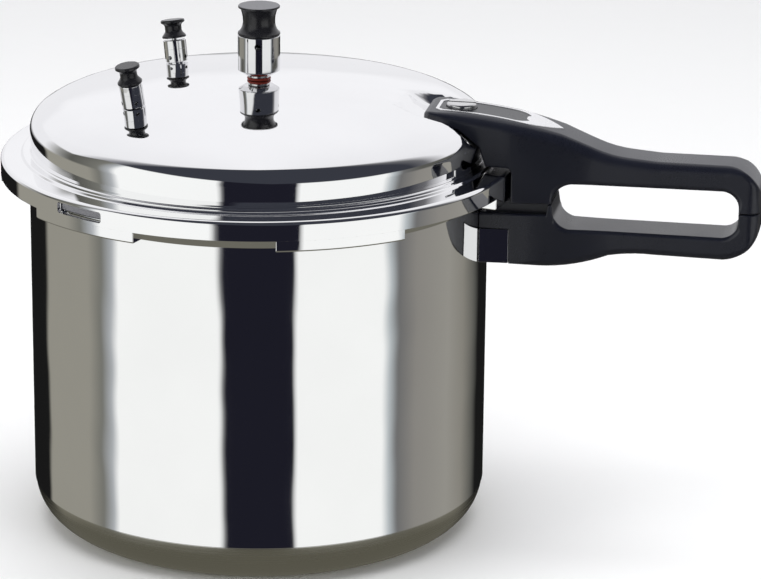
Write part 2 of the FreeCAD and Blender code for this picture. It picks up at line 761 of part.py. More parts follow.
def make_lid_handle(lid_outside):
    split = split_height
    end = handle_end
    nose = pot_radius - 31.2
    inner_face = skirt_radius + 0.5
    notch_top = flange_top + dims.step_rise + 0.6
    side = [
        station(-31.2, 25.6),
        station(-12.6, 21.3),
        station(-1.5, 12.6),
        (pot_radius + 2, notch_top),
        (inner_face - 3, notch_top, size(-3.2)),
        (inner_face, notch_top - 3),
        (inner_face, split),
        (eye_start, split, size(-11)),
        (eye_start + 10.6, finger_top - 0.6),
        (eye_end - 8.7, finger_top, size(-9)),
        (eye_end, finger_top - 8.7),
        (eye_end, split),
        (end, split),
        (end, finger_top - 0.8, size(18)),
        (end - 17, grip_top),
        *handle_top(ZERO),
        station(-30.0, 27.6),
    ]
    plan = grip_plan(nose - 1, dims.root_half_width, pot_radius + 16, pot_radius + 52)
    blank = shaped_handle("lid_handle", side, plan, split - 2, flange_top + 40)
    stud_place = pot_radius - dims.screw_inset
    deep = flange_top + 10
    stud_hole = cylinder("lid_handle_stud_hole", dims.stud_radius + 0.3, deep, flange_top + 40,
                         stud_place)
    nut_top = flange_top + 31.6
    nut_seat = flange_top + 26.6
    nut_hole = cylinder("lid_handle_nut_hole", dims.screw_radius + 0.3, nut_seat, flange_top + 40,
                        stud_place)
    recess = skin("badge_recess", -dims.badge_depth - 0.05, size(6), badge_plan(size(-0.1)))
    keep("lid_handle", boolean("Cut", "lid_handle", blank, stud_hole, nut_hole, recess))

    frame_sheet = skin("badge_frame", -dims.badge_depth, dims.badge_proud, badge_plan(ZERO))
    frame_hole = new_body("badge_frame_hole")
    pad(frame_hole, "XY_Plane", insert_plan(ZERO), size(40), flange_top)
    nut_way = cylinder("badge_nut_way", dims.screw_radius + 0.3, deep, flange_top + 40, stud_place)
    keep("badge_frame", boolean("Cut", "badge_frame", frame_sheet, frame_hole, nut_way))
    insert_sheet = skin("badge_insert", -dims.badge_depth, ZERO, insert_plan(size(0.05)))
    insert_way = cylinder("badge_insert_way", dims.screw_radius + 0.3, deep, flange_top + 40,
                          stud_place)
    keep("badge_insert", boolean("Cut", "badge_insert", insert_sheet, insert_way))

    stud = cylinder("stud_rod", dims.stud_radius, deep, nut_seat + 3, stud_place)
    keep("handle_stud", boolean("Cut", "handle_stud", stud, lid_outside))
    nut = new_body("handle_nut_turned")
    revolve(nut, [
        (dims.stud_radius + 0.05, nut_seat + 0.05), (dims.screw_radius, nut_seat + 0.05),
        (dims.screw_radius, nut_top - 1), (dims.screw_radius - 1, nut_top), (ZERO, nut_top),
        (ZERO, nut_seat + 3.2), (dims.stud_radius + 0.05, nut_seat + 3.2),
    ])
    bind(nut, "Placement.Base.x", stud_place)
    slot = box("handle_nut_slot", (stud_place - 9, size(-0.9), nut_top - 1.2),
               (stud_place + 9, size(0.9), nut_top + 1))
    keep("handle_nut", boolean("Cut", "handle_nut", nut, slot))


# ---------------------------------------------------------------- vent pipe and regulator


def make_vent():
    lid_under = crown_top - dims.lid_wall
    top = crown_top + dims.pipe_top
    ring_top = crown_top + dims.neck_ring_height + 0.15
    shoulder = crown_top + dims.weight_rise - dims.seat_gap
    pipe = new_body("vent_pipe")
    revolve(pipe, [
        (dims.pipe_bore, crown_top - 10.5), (dims.pipe_radius, crown_top - 10.5),
        (dims.pipe_radius, ring_top), (dims.pipe_radius + 0.9, ring_top),
        (dims.pipe_radius + 0.9, shoulder), (dims.pipe_radius, shoulder),
        (dims.pipe_radius, top - 1), (dims.pipe_radius - 1, top), (dims.pipe_bore, top),
    ])
    keep("vent_pipe", pipe)
    ring = new_body("vent_seal_ring")
    revolve(ring, [
        (dims.pipe_radius + 0.1, crown_top + 0.1), (dims.neck_ring_radius, crown_top + 0.1),
        (dims.neck_ring_radius, ring_top - 0.05), (dims.pipe_radius + 0.1, ring_top - 0.05),
    ])
    keep("vent_seal_ring", ring)
    keep("vent_pipe_nut", hex_nut("vent_pipe_nut", dims.pipe_radius, lid_under - 5.2, 4.8, 8.5))


def hex_nut(label, thread_radius, low, height, across):
    """Plain hexagon nut; across is the distance from its axis to a corner."""
    nut = new_body(label)
    corners = [(cosine(60 * step) * across, sine(60 * step) * across) for step in range(6)]
    pad(nut, "XY_Plane", corners, height, size(low))
    drill(nut, [(ZERO, ZERO, size(thread_radius) + 0.05)], size(height) + 2, size(low) + height + 1)
    return nut


def side_holes(label, radius, height, reach, turn):
    """Four crossing holes as two rods through a turned body."""
    rods = []
    for index in range(2):
        rod = document.addObject("Part::Cylinder", f"{label}_{index}")
        angle = turn + 90 * index
        rod.Placement = Placement(Vector(), Rotation(Vector(0, 0, 1), angle).multiply(
            Rotation(Vector(0, 1, 0), 90)))
        bind(rod, "Radius", radius)
        bind(rod, "Height", reach * 2)
        bind(rod, "Placement.Base.x", -(reach * cosine(angle)))
        bind(rod, "Placement.Base.y", -(reach * sine(angle)))
        bind(rod, "Placement.Base.z", height)
        rods.append(rod)
    return rods


def make_regulator():
    low = crown_top + dims.weight_rise
    high = low + dims.weight_height
    bore = dims.pipe_radius + 0.8
    chamber = high - 2.6
    weight = new_body("regulator_weight_turned")
    revolve(weight, [
        (bore, low), (dims.weight_radius - 3, low), (dims.weight_radius, low + 2),
        (dims.weight_radius, high - 0.4), (dims.weight_radius - 0.4, high), (size(3), high),
        (size(3), high + 8), (ZERO, high + 8), (ZERO, chamber), (bore, chamber),
    ])
    outlets = side_holes("weight_outlet", dims.steam_hole_radius, high - 4.4, dims.weight_radius + 2, 8)
    keep("regulator_weight", boolean("Cut", "regulator_weight", weight, *outlets))

    seat = crown_top + dims.pipe_top
    needle = new_body("regulator_needle")
    tip = dims.pipe_bore - 0.3
    revolve(needle, [
        (ZERO, seat - 1.2), (tip, seat - 1.2), (tip, seat + 0.3), (size(3.6), seat + 0.3),
        (size(3.6), seat + 1.4), (size(2.2), seat + 1.4), (size(2.2), chamber - 0.05),
        (ZERO, chamber - 0.05),
    ])
    keep("regulator_needle", needle)

    knob = new_body("regulator_knob")
    base = high + 0.1
    top = base + dims.knob_height - 0.1
    wide, waist = dims.weight_radius, dims.knob_waist_radius
    revolve(knob, [
        (size(3.1), base), (wide, base), (wide, base + 1.6), (wide - 1.5, base + 2.4, size(-5)),
        (waist, base + 6.5), (waist, top - 4.6, size(-3)), (waist + 1, top - 3),
        (wide - 0.4, top - 2.2), (wide - 0.4, top - 0.6), (wide - 1.1, top), (ZERO, top),
        (ZERO, base + 8.1), (size(3.1), base + 8.1),
    ])
    keep("regulator_knob", knob)


# ---------------------------------------------------------------- safety valves

VALVE_PARTS = ("body", "bonnet", "seal", "nut", "plunger", "knob")
SPRING_WIRE_RADIUS = 0.35
SPRING_TURNS = 5
KNOB_GAP = {"a": 0.3, "b": 1.0}


def make_valve(name, azimuth, turn):
    """One spring safety valve, modelled upright on its foot and then leaned onto the crown."""
    body_radius, shank, stem = dims.valve_radius, dims.valve_shank_radius, dims.valve_stem_radius
    seam, top = dims.valve_seam, dims.valve_height
    chamber = body_radius - 1.7
    lid_under = -(dims.lid_wall + 0.4)

    lower = new_body(f"valve_body_turned_{name}")
    revolve(lower, [
        (stem, size(-10.5)), (shank, size(-10.5)), (shank, size(0.35)), (body_radius - 0.3, size(0.35)),
        (body_radius, size(0.7)), (body_radius, seam), (chamber, seam), (chamber, size(2.0)),
        (stem, size(1.2)),
    ])
    outlets = side_holes(f"valve_outlet_{name}", dims.valve_hole_radius, size(3.0), body_radius + 2, turn)
    keep(f"safety_valve_body_{name}", boolean("Cut", f"safety_valve_body_{name}", lower, *outlets))
    bonnet = new_body(f"safety_valve_bonnet_{name}")
    revolve(bonnet, [
        (chamber, seam), (body_radius - 0.25, seam), (body_radius, seam + 0.3),
        (body_radius, top - 0.3), (body_radius - 0.3, top), (stem + 0.3, top),
        (stem + 0.3, top - 1.6), (chamber, top - 1.6),
    ])
    keep(f"safety_valve_bonnet_{name}", bonnet)
    ring = new_body(f"safety_valve_seal_{name}")
    revolve(ring, [
        (shank + 0.1, lid_under - 1.4), (shank + 3, lid_under - 1.4), (shank + 3, lid_under),
        (shank + 0.1, lid_under),
    ])
    keep(f"safety_valve_seal_{name}", ring)
    nut = hex_nut(f"safety_valve_nut_{name}", shank, lid_under - 5.7, 4.2, 7.4)
    keep(f"safety_valve_nut_{name}", nut)

    plunger = new_body(f"safety_valve_plunger_{name}")
    disc = chamber - 0.5
    revolve(plunger, [
        (ZERO, size(2.25)), (disc, size(2.25)), (disc, size(3.6)), (stem, size(3.6)),
        (stem, top + 7), (ZERO, top + 7),
    ])
    keep(f"safety_valve_plunger_{name}", plunger)
    knob = new_body(f"safety_valve_knob_{name}")
    base = top + KNOB_GAP[name]
    crest = base + dims.valve_knob_height
    wide = body_radius + 0.35
    waist = wide * 0.7
    revolve(knob, [
        (stem + 0.05, base), (wide, base), (wide, base + 1), (waist + 0.6, base + 2.6, size(-3)),
        (waist, base + 4), (waist, crest - 3.6, size(-3)), (waist + 0.8, crest - 2.2),
        (wide, crest - 1.6), (wide, crest - 0.5), (wide - 0.5, crest), (ZERO, crest),
        (ZERO, top + 7.1), (stem + 0.05, top + 7.1),
    ])
    keep(f"safety_valve_knob_{name}", knob)
    for part in VALVE_PARTS:
        stand_on_lid(NODES[f"safety_valve_{part}_{name}"], azimuth)
    coil_foot = size(3.9)
    coil = document.addObject("Part::Feature", f"safety_valve_spring_{name}")
    coil.Shape = coil_spring((top - 1.9 - coil_foot).value, stem.value + 0.9)
    keep(f"safety_valve_spring_{name}", stand_on_lid(coil, azimuth, coil_foot))


def coil_spring(height, radius):
    """Round-wire compression spring; its wire starts and ends on its own origin and height."""
    path = Part.makeHelix(height / SPRING_TURNS, height, radius)
    start = path.Vertexes[0].Point
    section = Part.Wire([Part.makeCircle(SPRING_WIRE_RADIUS, start, Vector(0, 1, 0))])
    return Part.Wire(path.Edges).makePipeShell([section], True, True)


# ---------------------------------------------------------------- canning rack


def make_rack():
    low = dims.base_thickness + dims.seat_gap
    under = low + dims.rack_foot_height
    top = under + dims.rack_thickness
    rack = new_body("canning_rack")
    revolve(rack, [
        (size(12), under), (dims.rack_radius, under), (dims.rack_radius, top + 2),
        (dims.rack_radius - 1.5, top + 2), (dims.rack_radius - 1.5, top), (size(12), top),
    ])
    foot_outline = sector(dims.rack_foot_radius, dims.rack_foot_radius + 2, size(20))
    foot = pad(rack, "XY_Plane", foot_outline, dims.rack_foot_height + 1, low)
    around(rack, foot, size(4))
    rings = ((30, 8), (52, 12), (76, 18))
    for ring_radius, count in rings:
        hole = drill(rack, [(size(ring_radius), ZERO, dims.rack_hole_radius)],
                     dims.rack_thickness + 2, top + 1)
        around(rack, hole, size(count))
    keep("canning_rack", rack)


# ---------------------------------------------------------------- build, check and write


def check_document():
    """Stop on any failed object or unsound sub-part."""
    for item in document.Objects:
        if "Invalid" in item.State or "Error" in item.State:
            raise RuntimeError(f"{item.Name} ({item.Label}) failed: {item.State}")
    for node, shaped in NODES.items():
        if shaped.Shape.isNull() or not shaped.Shape.isValid() or not shaped.Shape.Solids:
            raise RuntimeError(f"{node} has no sound solid")


def main():
    make_pot()
    make_bracket()
    make_guard()
    make_pot_handle()
    lid_outside = make_lid()
    make_gasket()
    make_lid_handle(lid_outside)
    make_vent()
    make_regulator()
    for (name, azimuth), turn in zip(valve_places(), (30, 70)):
        make_valve(name, azimuth, turn)
    make_rack()
    document.recompute()
    check_document()
    os.makedirs("parts", exist_ok=True)
    for node, shaped in NODES.items():
        shaped.Shape.exportStep(f"parts/{node}.step")
        box_now = shaped.Shape.BoundBox
        print(f"{node:26s} solids {len(shaped.Shape.Solids)} volume {shaped.Shape.Volume:10.0f} "
              f"x {box_now.XMin:7.1f} {box_now.XMax:7.1f} y {box_now.YMin:7.1f} {box_now.YMax:7.1f} "
              f"z {box_now.ZMin:7.1f} {box_now.ZMax:7.1f}")


main()
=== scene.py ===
"""Looks of the pressure canner: polished aluminium pot and lid, black moulded handle, chrome fittings.

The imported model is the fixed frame. Every piece here is drawn in millimetres, in that frame, and made
in metres: origin at the centre of the pot's base, +Z up, +X along the handle.
"""

import logging
import math
from collections.abc import Callable, Sequence
from dataclasses import dataclass
from enum import Enum

import bmesh
import bpy
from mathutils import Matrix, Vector


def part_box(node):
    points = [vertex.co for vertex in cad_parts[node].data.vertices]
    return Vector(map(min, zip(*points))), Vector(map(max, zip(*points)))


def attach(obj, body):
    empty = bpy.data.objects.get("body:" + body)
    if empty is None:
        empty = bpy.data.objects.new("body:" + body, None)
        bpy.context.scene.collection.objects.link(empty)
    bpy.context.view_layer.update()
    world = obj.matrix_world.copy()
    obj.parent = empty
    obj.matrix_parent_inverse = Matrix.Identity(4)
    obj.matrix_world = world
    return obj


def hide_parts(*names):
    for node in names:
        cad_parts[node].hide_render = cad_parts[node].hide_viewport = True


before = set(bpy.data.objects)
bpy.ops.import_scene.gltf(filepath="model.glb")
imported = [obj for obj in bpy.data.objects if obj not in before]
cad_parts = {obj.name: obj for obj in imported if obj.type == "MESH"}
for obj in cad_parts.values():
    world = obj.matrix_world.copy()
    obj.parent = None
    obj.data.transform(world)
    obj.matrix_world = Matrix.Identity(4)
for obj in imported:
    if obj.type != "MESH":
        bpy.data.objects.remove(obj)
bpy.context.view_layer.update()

LOG = logging.getLogger("canner")
MM = 0.001
Triple = tuple[float, float, float]
Colour = Triple
Point = tuple[float, float]
Piece = bpy.types.Object
Socket = bpy.types.NodeSocket
SAME_PLACE = 1e-6
RING_GAP = 0.02
LEAST_SLANT = 0.5


# ---------------------------------------------------------------- outlines


@dataclass(frozen=True)
class Corner:
    """One corner of an outline, in millimetres.

    A fillet rounds the corner itself. A bend turns the side that follows into an arc of that radius,
    to the left where it is positive and to the right where it is negative.
    """

    x: float
    y: float
    fillet: float = 0.0
    bend: float = 0.0


def arc_points(start: Point, finish: Point, radius: float) -> list[Point]:
    """Points between the ends of an arc.

    Args:
        start: where the arc begins.
        finish: where it ends.
        radius: positive turns left, negative turns right.

    Returns:
        The points strictly between start and finish.
    """
    chord = Vector(finish) - Vector(start)
    half = chord.length / 2
    side = math.copysign(1.0, radius)
    reach = max(abs(radius), half)
    to_centre = Vector((-chord.y, chord.x)).normalized() * side * math.sqrt(reach**2 - half**2)
    centre = Vector(start) + chord / 2 + to_centre
    sweep = 2 * math.asin(min(1.0, half / reach)) * side
    first = math.atan2(start[1] - centre.y, start[0] - centre.x)
    fine_turn, fine_length = abs(sweep) / math.radians(7.5), abs(sweep) * reach / 5.0
    steps = max(2, math.ceil(max(fine_turn, fine_length)))
    turns = (first + sweep * step / steps for step in range(1, steps))
    return [(centre.x + reach * math.cos(turn), centre.y + reach * math.sin(turn)) for turn in turns]


def fillet_points(before: Point, corner: Point, after: Point, radius: float) -> list[Point]:
    """Points that round one corner.

    Args:
        before: the outline's point ahead of the corner.
        corner: the sharp corner.
        after: the outline's point past the corner.
        radius: wanted fillet, made smaller where the sides are too short for it.

    Returns:
        The points of the fillet, its two tangent points included.
    """
    back = Vector(before) - Vector(corner)
    ahead = Vector(after) - Vector(corner)
    turn = math.pi - back.angle(ahead)
    if turn < math.radians(2):
        return [corner]
    reach = min(radius * math.tan(turn / 2), back.length * 0.49, ahead.length * 0.49)
    first = Vector(corner) + back.normalized() * reach
    last = Vector(corner) + ahead.normalized() * reach
    real = reach / math.tan(turn / 2)
    side = math.copysign(1.0, -(back.x * ahead.y - back.y * ahead.x))
    return [tuple(first), *arc_points(tuple(first), tuple(last), real * side), tuple(last)]


def trace(corners: Sequence[Corner], closed: bool = False) -> list[Point]:
    """Follow an outline's lines, arcs and rounded corners.

    Args:
        corners: the outline's corners in order.
        closed: whether the last corner joins the first.

    Returns:
        Its points; a closed outline's first point isn't repeated.
    """
    path: list[tuple[Point, float]] = []
    count = len(corners)
    for index, corner in enumerate(corners):
        path.append(((corner.x, corner.y), corner.fillet))
        last_open = not closed and index == count - 1
        if corner.bend and not last_open:
            following = corners[(index + 1) % count]
            middle = arc_points((corner.x, corner.y), (following.x, following.y), corner.bend)
            path.extend((point, 0.0) for point in middle)
    points: list[Point] = []
    for index, (point, fillet) in enumerate(path):
        at_end = not closed and index in (0, len(path) - 1)
        if fillet and not at_end:
            before = path[index - 1][0]
            after = path[(index + 1) % len(path)][0]
            points.extend(fillet_points(before, point, after, fillet))
        else:
            points.append(point)
    return points


# ---------------------------------------------------------------- bench work


def put_down() -> None:
    """Leave edit mode with nothing selected."""
    if bpy.context.mode != "OBJECT":
        bpy.ops.object.mode_set(mode="OBJECT")
    bpy.ops.object.select_all(action="DESELECT")


def take(piece: Piece) -> None:
    """Select one piece alone and make it active.

    Args:
        piece: the piece.
    """
    put_down()
    piece.select_set(True)
    bpy.context.view_layer.objects.active = piece


def edit(piece: Piece) -> None:
    """Open a piece in edit mode with all of it selected.

    Args:
        piece: the piece.
    """
    take(piece)
    bpy.ops.object.mode_set(mode="EDIT")
    bpy.ops.mesh.select_all(action="SELECT")


def freeze(piece: Piece) -> None:
    """Apply a piece's place, turn and scale to its points."""
    take(piece)
    bpy.ops.object.transform_apply(location=True, rotation=True, scale=True)


def tidy(piece: Piece) -> None:
    """Merge doubled points and turn all faces outwards, then leave edit mode.

    Args:
        piece: the piece.
    """
    edit(piece)
    bpy.ops.mesh.remove_doubles(threshold=SAME_PLACE)
    bpy.ops.mesh.normals_make_consistent(inside=False)
    put_down()


def wire(name: str, places: Sequence[Vector]) -> Piece:
    """Draw a chain of points by extruding one point from place to place.

    Args:
        name: the new piece's name.
        places: points in millimetres.

    Returns:
        The piece, still in edit mode with its last point selected.
    """
    put_down()
    bpy.ops.mesh.primitive_plane_add(size=MM, location=(0, 0, 0))
    piece = bpy.context.object
    piece.name = name
    piece.data.name = name
    bpy.ops.object.mode_set(mode="EDIT")
    bpy.ops.mesh.select_all(action="SELECT")
    bpy.ops.mesh.merge(type="CENTER")
    bpy.ops.transform.translate(value=places[0] * MM)
    for here, there in zip(places, places[1:]):
        bpy.ops.mesh.extrude_region_move(TRANSFORM_OT_translate={"value": (there - here) * MM})
    return piece


def fill(name: str, places: Sequence[Vector]) -> Piece:
    """Fill a closed chain of points with one face.

    Args:
        name: the new piece's name.
        places: points in millimetres, the first not repeated.

    Returns:
        The piece, still in edit mode with all of it selected.
    """
    piece = wire(name, [*places, places[0]])
    bpy.ops.mesh.select_all(action="SELECT")
    bpy.ops.mesh.remove_doubles(threshold=SAME_PLACE)
    bpy.ops.mesh.select_all(action="SELECT")
    bpy.ops.mesh.edge_face_add()
    bpy.ops.mesh.select_all(action="SELECT")
    return piece


def lathe(name: str, corners: Sequence[Corner], steps: int = 96, closed: bool = True) -> Piece:
    """Turn a half section about the Z axis.

    Args:
        name: the new piece's name.
        corners: half section, x being the radius and y the height.
        steps: facets round the axis.
        closed: whether the last corner joins the first; a side along the axis is left out.

    Returns:
        The closed, turned piece.
    """
    points = trace(corners, closed)
    if closed:
        pairs = list(zip(points, points[1:] + points[:1]))
        axis = [index for index, (here, there) in enumerate(pairs) if max(here[0], there[0]) < SAME_PLACE]
        if axis:
            first = (axis[0] + 1) % len(points)
            points = points[first:] + points[:first]
        else:
            points.append(points[0])
    piece = wire(name, [Vector((x, 0, y)) for x, y in points])
    bpy.ops.mesh.select_all(action="SELECT")
    bpy.ops.mesh.spin(steps=steps, angle=math.tau, center=(0, 0, 0), axis=(0, 0, 1))
    tidy(piece)
    return piece


def sector(name: str, corners: Sequence[Corner], angle: float, azimuth: float) -> Piece:
    """Turn a closed section through part of a circle, with flat ends.

    Args:
        name: the new piece's name.
        corners: section, x being the radius and y the height.
        angle: width of the sector in degrees.
        azimuth: direction of its middle in degrees.

    Returns:
        The closed piece.
    """
    start = math.radians(azimuth + angle / 2)
    places = [Vector((x * math.cos(start), x * math.sin(start), y)) for x, y in trace(corners, True)]
    piece = fill(name, places)
    steps = max(4, math.ceil(angle))
    bpy.ops.mesh.spin(steps=steps, angle=math.radians(angle), center=(0, 0, 0), axis=(0, 0, 1))
    tidy(piece)
    return piece


def slab(name: str, corners: Sequence[Corner], across: Point, plan: bool = False) -> Piece:
    """Fill a closed outline and pull it straight through.

    Args:
        name: the new piece's name.
        corners: the outline, in the side view (X, Z) or in plan (X, Y).
        across: where it starts and ends along the third axis.
        plan: whether the outline is a plan.

    Returns:
        The closed piece.
    """
    low, high = across
    third = 2 if plan else 1
    places = [Vector((x, y, low) if plan else (x, low, y)) for x, y in trace(corners, True)]
    way = Vector((0, 0, 0))
    way[third] = high - low
    piece = fill(name, places)
    bpy.ops.mesh.extrude_region_move(TRANSFORM_OT_translate={"value": way * MM})
    tidy(piece)
    return piece


def rod(name: str, radius: float, length: float, middle: Vector, turn: Triple = (0, 0, 0)) -> Piece:
    """A round cutter.

    Args:
        name: the new piece's name.
        radius: in millimetres.
        length: in millimetres.
        middle: its centre in millimetres.
        turn: rotation in degrees, about X, Y and Z.

    Returns:
        The rod.
    """
    put_down()
    bpy.ops.mesh.primitive_cylinder_add(
        vertices=48, radius=radius * MM, depth=length * MM, location=middle * MM,
        rotation=[math.radians(angle) for angle in turn])
    piece = bpy.context.object
    piece.name = name
    freeze(piece)
    return piece


def block(name: str, low: Vector, high: Vector) -> Piece:
    """A box between two corners, in millimetres.

    Args:
        name: the new piece's name.
        low: its corner with the least X, Y and Z.
        high: its opposite corner.

    Returns:
        The box.
    """
    put_down()
    bpy.ops.mesh.primitive_cube_add(size=MM, location=(low + high) / 2 * MM)
    piece = bpy.context.object
    piece.name = name
    piece.scale = high - low
    freeze(piece)
    return piece


class Join(Enum):
    """How a tool acts on a piece."""

    CUT = "DIFFERENCE"
    ADD = "UNION"


def combine(piece: Piece, tool: Piece, how: Join = Join.CUT) -> None:
    """Cut a piece with a tool, or add the tool to it; the tool is used up.

    Args:
        piece: what is kept.
        tool: what cuts it or is added to it.
        how: cut or add.
    """
    take(piece)
    step = piece.modifiers.new("combine", "BOOLEAN")
    step.operation = how.value
    step.solver = "MANIFOLD"
    step.object = tool
    before = len(piece.data.polygons)
    bpy.ops.object.modifier_apply(modifier=step.name)
    if not piece.data.polygons:
        LOG.warning("%s: %s with %s left nothing of %d faces", piece.name, how.name, tool.name, before)
    bpy.data.objects.remove(tool)


def gather(pieces: Sequence[Piece]) -> Piece:
    """Join pieces that don't touch into one.

    Args:
        pieces: at least one piece.

    Returns:
        The first piece, holding all the others.
    """
    take(pieces[0])
    for piece in pieces[1:]:
        piece.select_set(True)
    if len(pieces) > 1:
        bpy.ops.object.join()
    return pieces[0]


def copy_round(piece: Piece, count: int) -> Piece:
    """Repeat a piece evenly round the Z axis and join the copies.

    Args:
        piece: the first copy.
        count: how many there are in all.

    Returns:
        All copies as one piece.
    """
    copies = [piece]
    for index in range(1, count):
        take(piece)
        bpy.ops.object.duplicate(linked=False)
        twin = bpy.context.object
        twin.rotation_euler.z = math.tau * index / count
        freeze(twin)
        copies.append(twin)
    return gather(copies)


def cross_drill(piece: Piece, radius: float, length: float, height: float, turn: float) -> None:
    """Drill two level holes through an upright piece, square to each other.

    Args:
        piece: the piece.
        radius: of the drill, in millimetres.
        length: of the drill, in millimetres.
        height: of the holes, in millimetres.
        turn: direction of the first hole in degrees.
    """
    for quarter in (0, 90):
        combine(piece, rod("outlet", radius, length, Vector((0, 0, height)), (0, 90, turn + quarter)))


def soften(piece: Piece, radius: float, segments: int = 3, angle: float = 30.0) -> None:
    """Round a piece's sharp edges.

    Args:
        piece: the piece.
        radius: edge rounding in millimetres.
        segments: facets across the rounding.
        angle: edges sharper than this many degrees are rounded.
    """
    take(piece)
    step = piece.modifiers.new("soften", "BEVEL")
    step.width = radius * MM
    step.segments = segments
    step.limit_method = "ANGLE"
    step.angle_limit = math.radians(angle)
    step.use_clamp_overlap = True
    step.miter_outer = "MITER_ARC"
    bpy.ops.object.modifier_apply(modifier=step.name)


def round_over(piece: Piece, corners: Sequence[Corner], half: float,
               radius_at: Callable[[Point], float], rows: int = 6) -> None:
    """Round the long edges of a side-view slab by a radius that may change along its outline.

    Args:
        piece: the slab, reaching from -half to half across Y.
        corners: the outline it was made from.
        half: half of its width.
        radius_at: gets a point of the outline, returns the rounding there in millimetres.
        rows: facets across the rounding.
    """
    outline = [Vector(point) for point in trace(corners, True)]
    rings = [half * (1 - RING_GAP * row) for row in range(rows + 1)]
    slice_along(piece, [side * ring for ring in rings[1:] for side in (1, -1)], axis=1)
    pairs = zip(outline, outline[1:] + outline[:1])
    area = sum(here.x * there.y - here.y * there.x for here, there in pairs)
    way = math.copysign(1.0, area)
    inward: list[Vector] = []
    for index, here in enumerate(outline):
        before = (here - outline[index - 1]).normalized()
        after = (outline[(index + 1) % len(outline)] - here).normalized()
        normal = (Vector((-before.y, before.x)) + Vector((-after.y, after.x))).normalized() * way
        slant = max(LEAST_SLANT, abs(normal.dot(Vector((-after.y, after.x)))))
        inward.append(normal / slant)
    for vertex in piece.data.vertices:
        place = Vector((vertex.co.x, vertex.co.z)) / MM
        index = min(range(len(outline)), key=lambda number: (outline[number] - place).length_squared)
        row = min(range(rows + 1), key=lambda number: abs(rings[number] - abs(vertex.co.y / MM)))
        radius = radius_at(tuple(outline[index]))
        turn = math.pi / 2 * row / rows
        moved = outline[index] + inward[index] * radius * (1 - math.sin(turn))
        across = math.copysign(half - radius * (1 - math.cos(turn)), vertex.co.y)
        vertex.co = Vector((moved.x, across, moved.y)) * MM
    piece.data.update()


def polish(piece: Piece, angle: float) -> None:
    """Smooth shading that keeps flat faces flat and edges sharper than an angle crisp.

    Args:
        piece: the piece.
        angle: in degrees.
    """
    take(piece)
    bpy.ops.object.shade_smooth_by_angle(angle=math.radians(angle))
    step = piece.modifiers.new("even", "WEIGHTED_NORMAL")
    step.keep_sharp = True
    bpy.ops.object.modifier_apply(modifier=step.name)
    put_down()


def slice_along(piece: Piece, places: Sequence[float], axis: int = 0) -> None:
    """Score a piece across one axis at several places in millimetres.

    Args:
        piece: the piece.
        places: where, in millimetres.
        axis: 0 for X, 1 for Y, 2 for Z.
    """
    normal = Vector((0, 0, 0))
    normal[axis] = 1
    for place in places:
        edit(piece)
        bpy.ops.mesh.bisect(plane_co=normal * place * MM, plane_no=normal)
    put_down()


def shape_slices(piece: Piece, work: Callable[[float], None]) -> None:
    """Work on all points that share one X, for each X in turn.

    Args:
        piece: the piece.
        work: gets X in millimetres, with that slice selected in edit mode.
    """
    order = sorted(piece.data.vertices, key=lambda vertex: vertex.co.x)
    slices: list[list[int]] = []
    last = -math.inf
    for vertex in order:
        if vertex.co.x - last > 2 * SAME_PLACE:
            slices.append([])
        slices[-1].append(vertex.index)
        last = vertex.co.x
    places = [piece.data.vertices[one[0]].co.x / MM for one in slices]
    edit(piece)
    for place, indices in zip(places, slices):
        bpy.ops.mesh.select_all(action="DESELECT")
        mesh = bmesh.from_edit_mesh(piece.data)
        mesh.verts.ensure_lookup_table()
        for index in indices:
            mesh.verts[index].select_set(True)
        bmesh.update_edit_mesh(piece.data)
        work(place)
    put_down()


def narrow(piece: Piece, share: Callable[[float], float]) -> None:
    """Make a piece narrower across Y, slice by slice; share gets X in millimetres.

    Args:
        piece: the piece.
        share: the width that is kept at an X, 1 being all of it.
    """
    def squeeze(x: float) -> None:
        """Scale the selected slice across Y."""
        bpy.ops.transform.resize(value=(1, share(x), 1), center_override=(0, 0, 0))

    shape_slices(piece, squeeze)


def spread(start: float, finish: float, step: float) -> list[float]:
    """Evenly spaced places strictly between start and finish."""
    count = max(2, math.ceil(abs(finish - start) / step))
    return [start + (finish - start) * index / count for index in range(1, count)]


def settle(low: float, high: float, place: float) -> float:
    """Smooth rise from 0 at low to 1 at high."""
    share = min(1.0, max(0.0, (place - low) / (high - low)))
    return share * share * (3 - 2 * share)


def coat(piece: Piece, finish: "Finish") -> None:
    """Give a whole piece one finish, whatever slots its tools left behind.

    Args:
        piece: the piece.
        finish: what it is made of.
    """
    piece.data.materials.clear()
    piece.data.materials.append(finish.material())
    for face in piece.data.polygons:
        face.material_index = 0


def show(piece: Piece, finish: "Finish", body: str, node: str, angle: float = 32.0) -> None:
    """Shade and dress a piece, and ride it on its body in place of its CAD node.

    Args:
        piece: the piece.
        finish: what it is made of.
        body: the moving body that carries it.
        node: the CAD node it stands for.
        angle: edges sharper than this many degrees stay crisp.
    """
    polish(piece, angle)
    coat(piece, finish)
    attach(piece, body)
    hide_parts(node)
    LOG.info("%s rides on %s, %d faces", piece.name, body, len(piece.data.polygons))


# ---------------------------------------------------------------- finishes


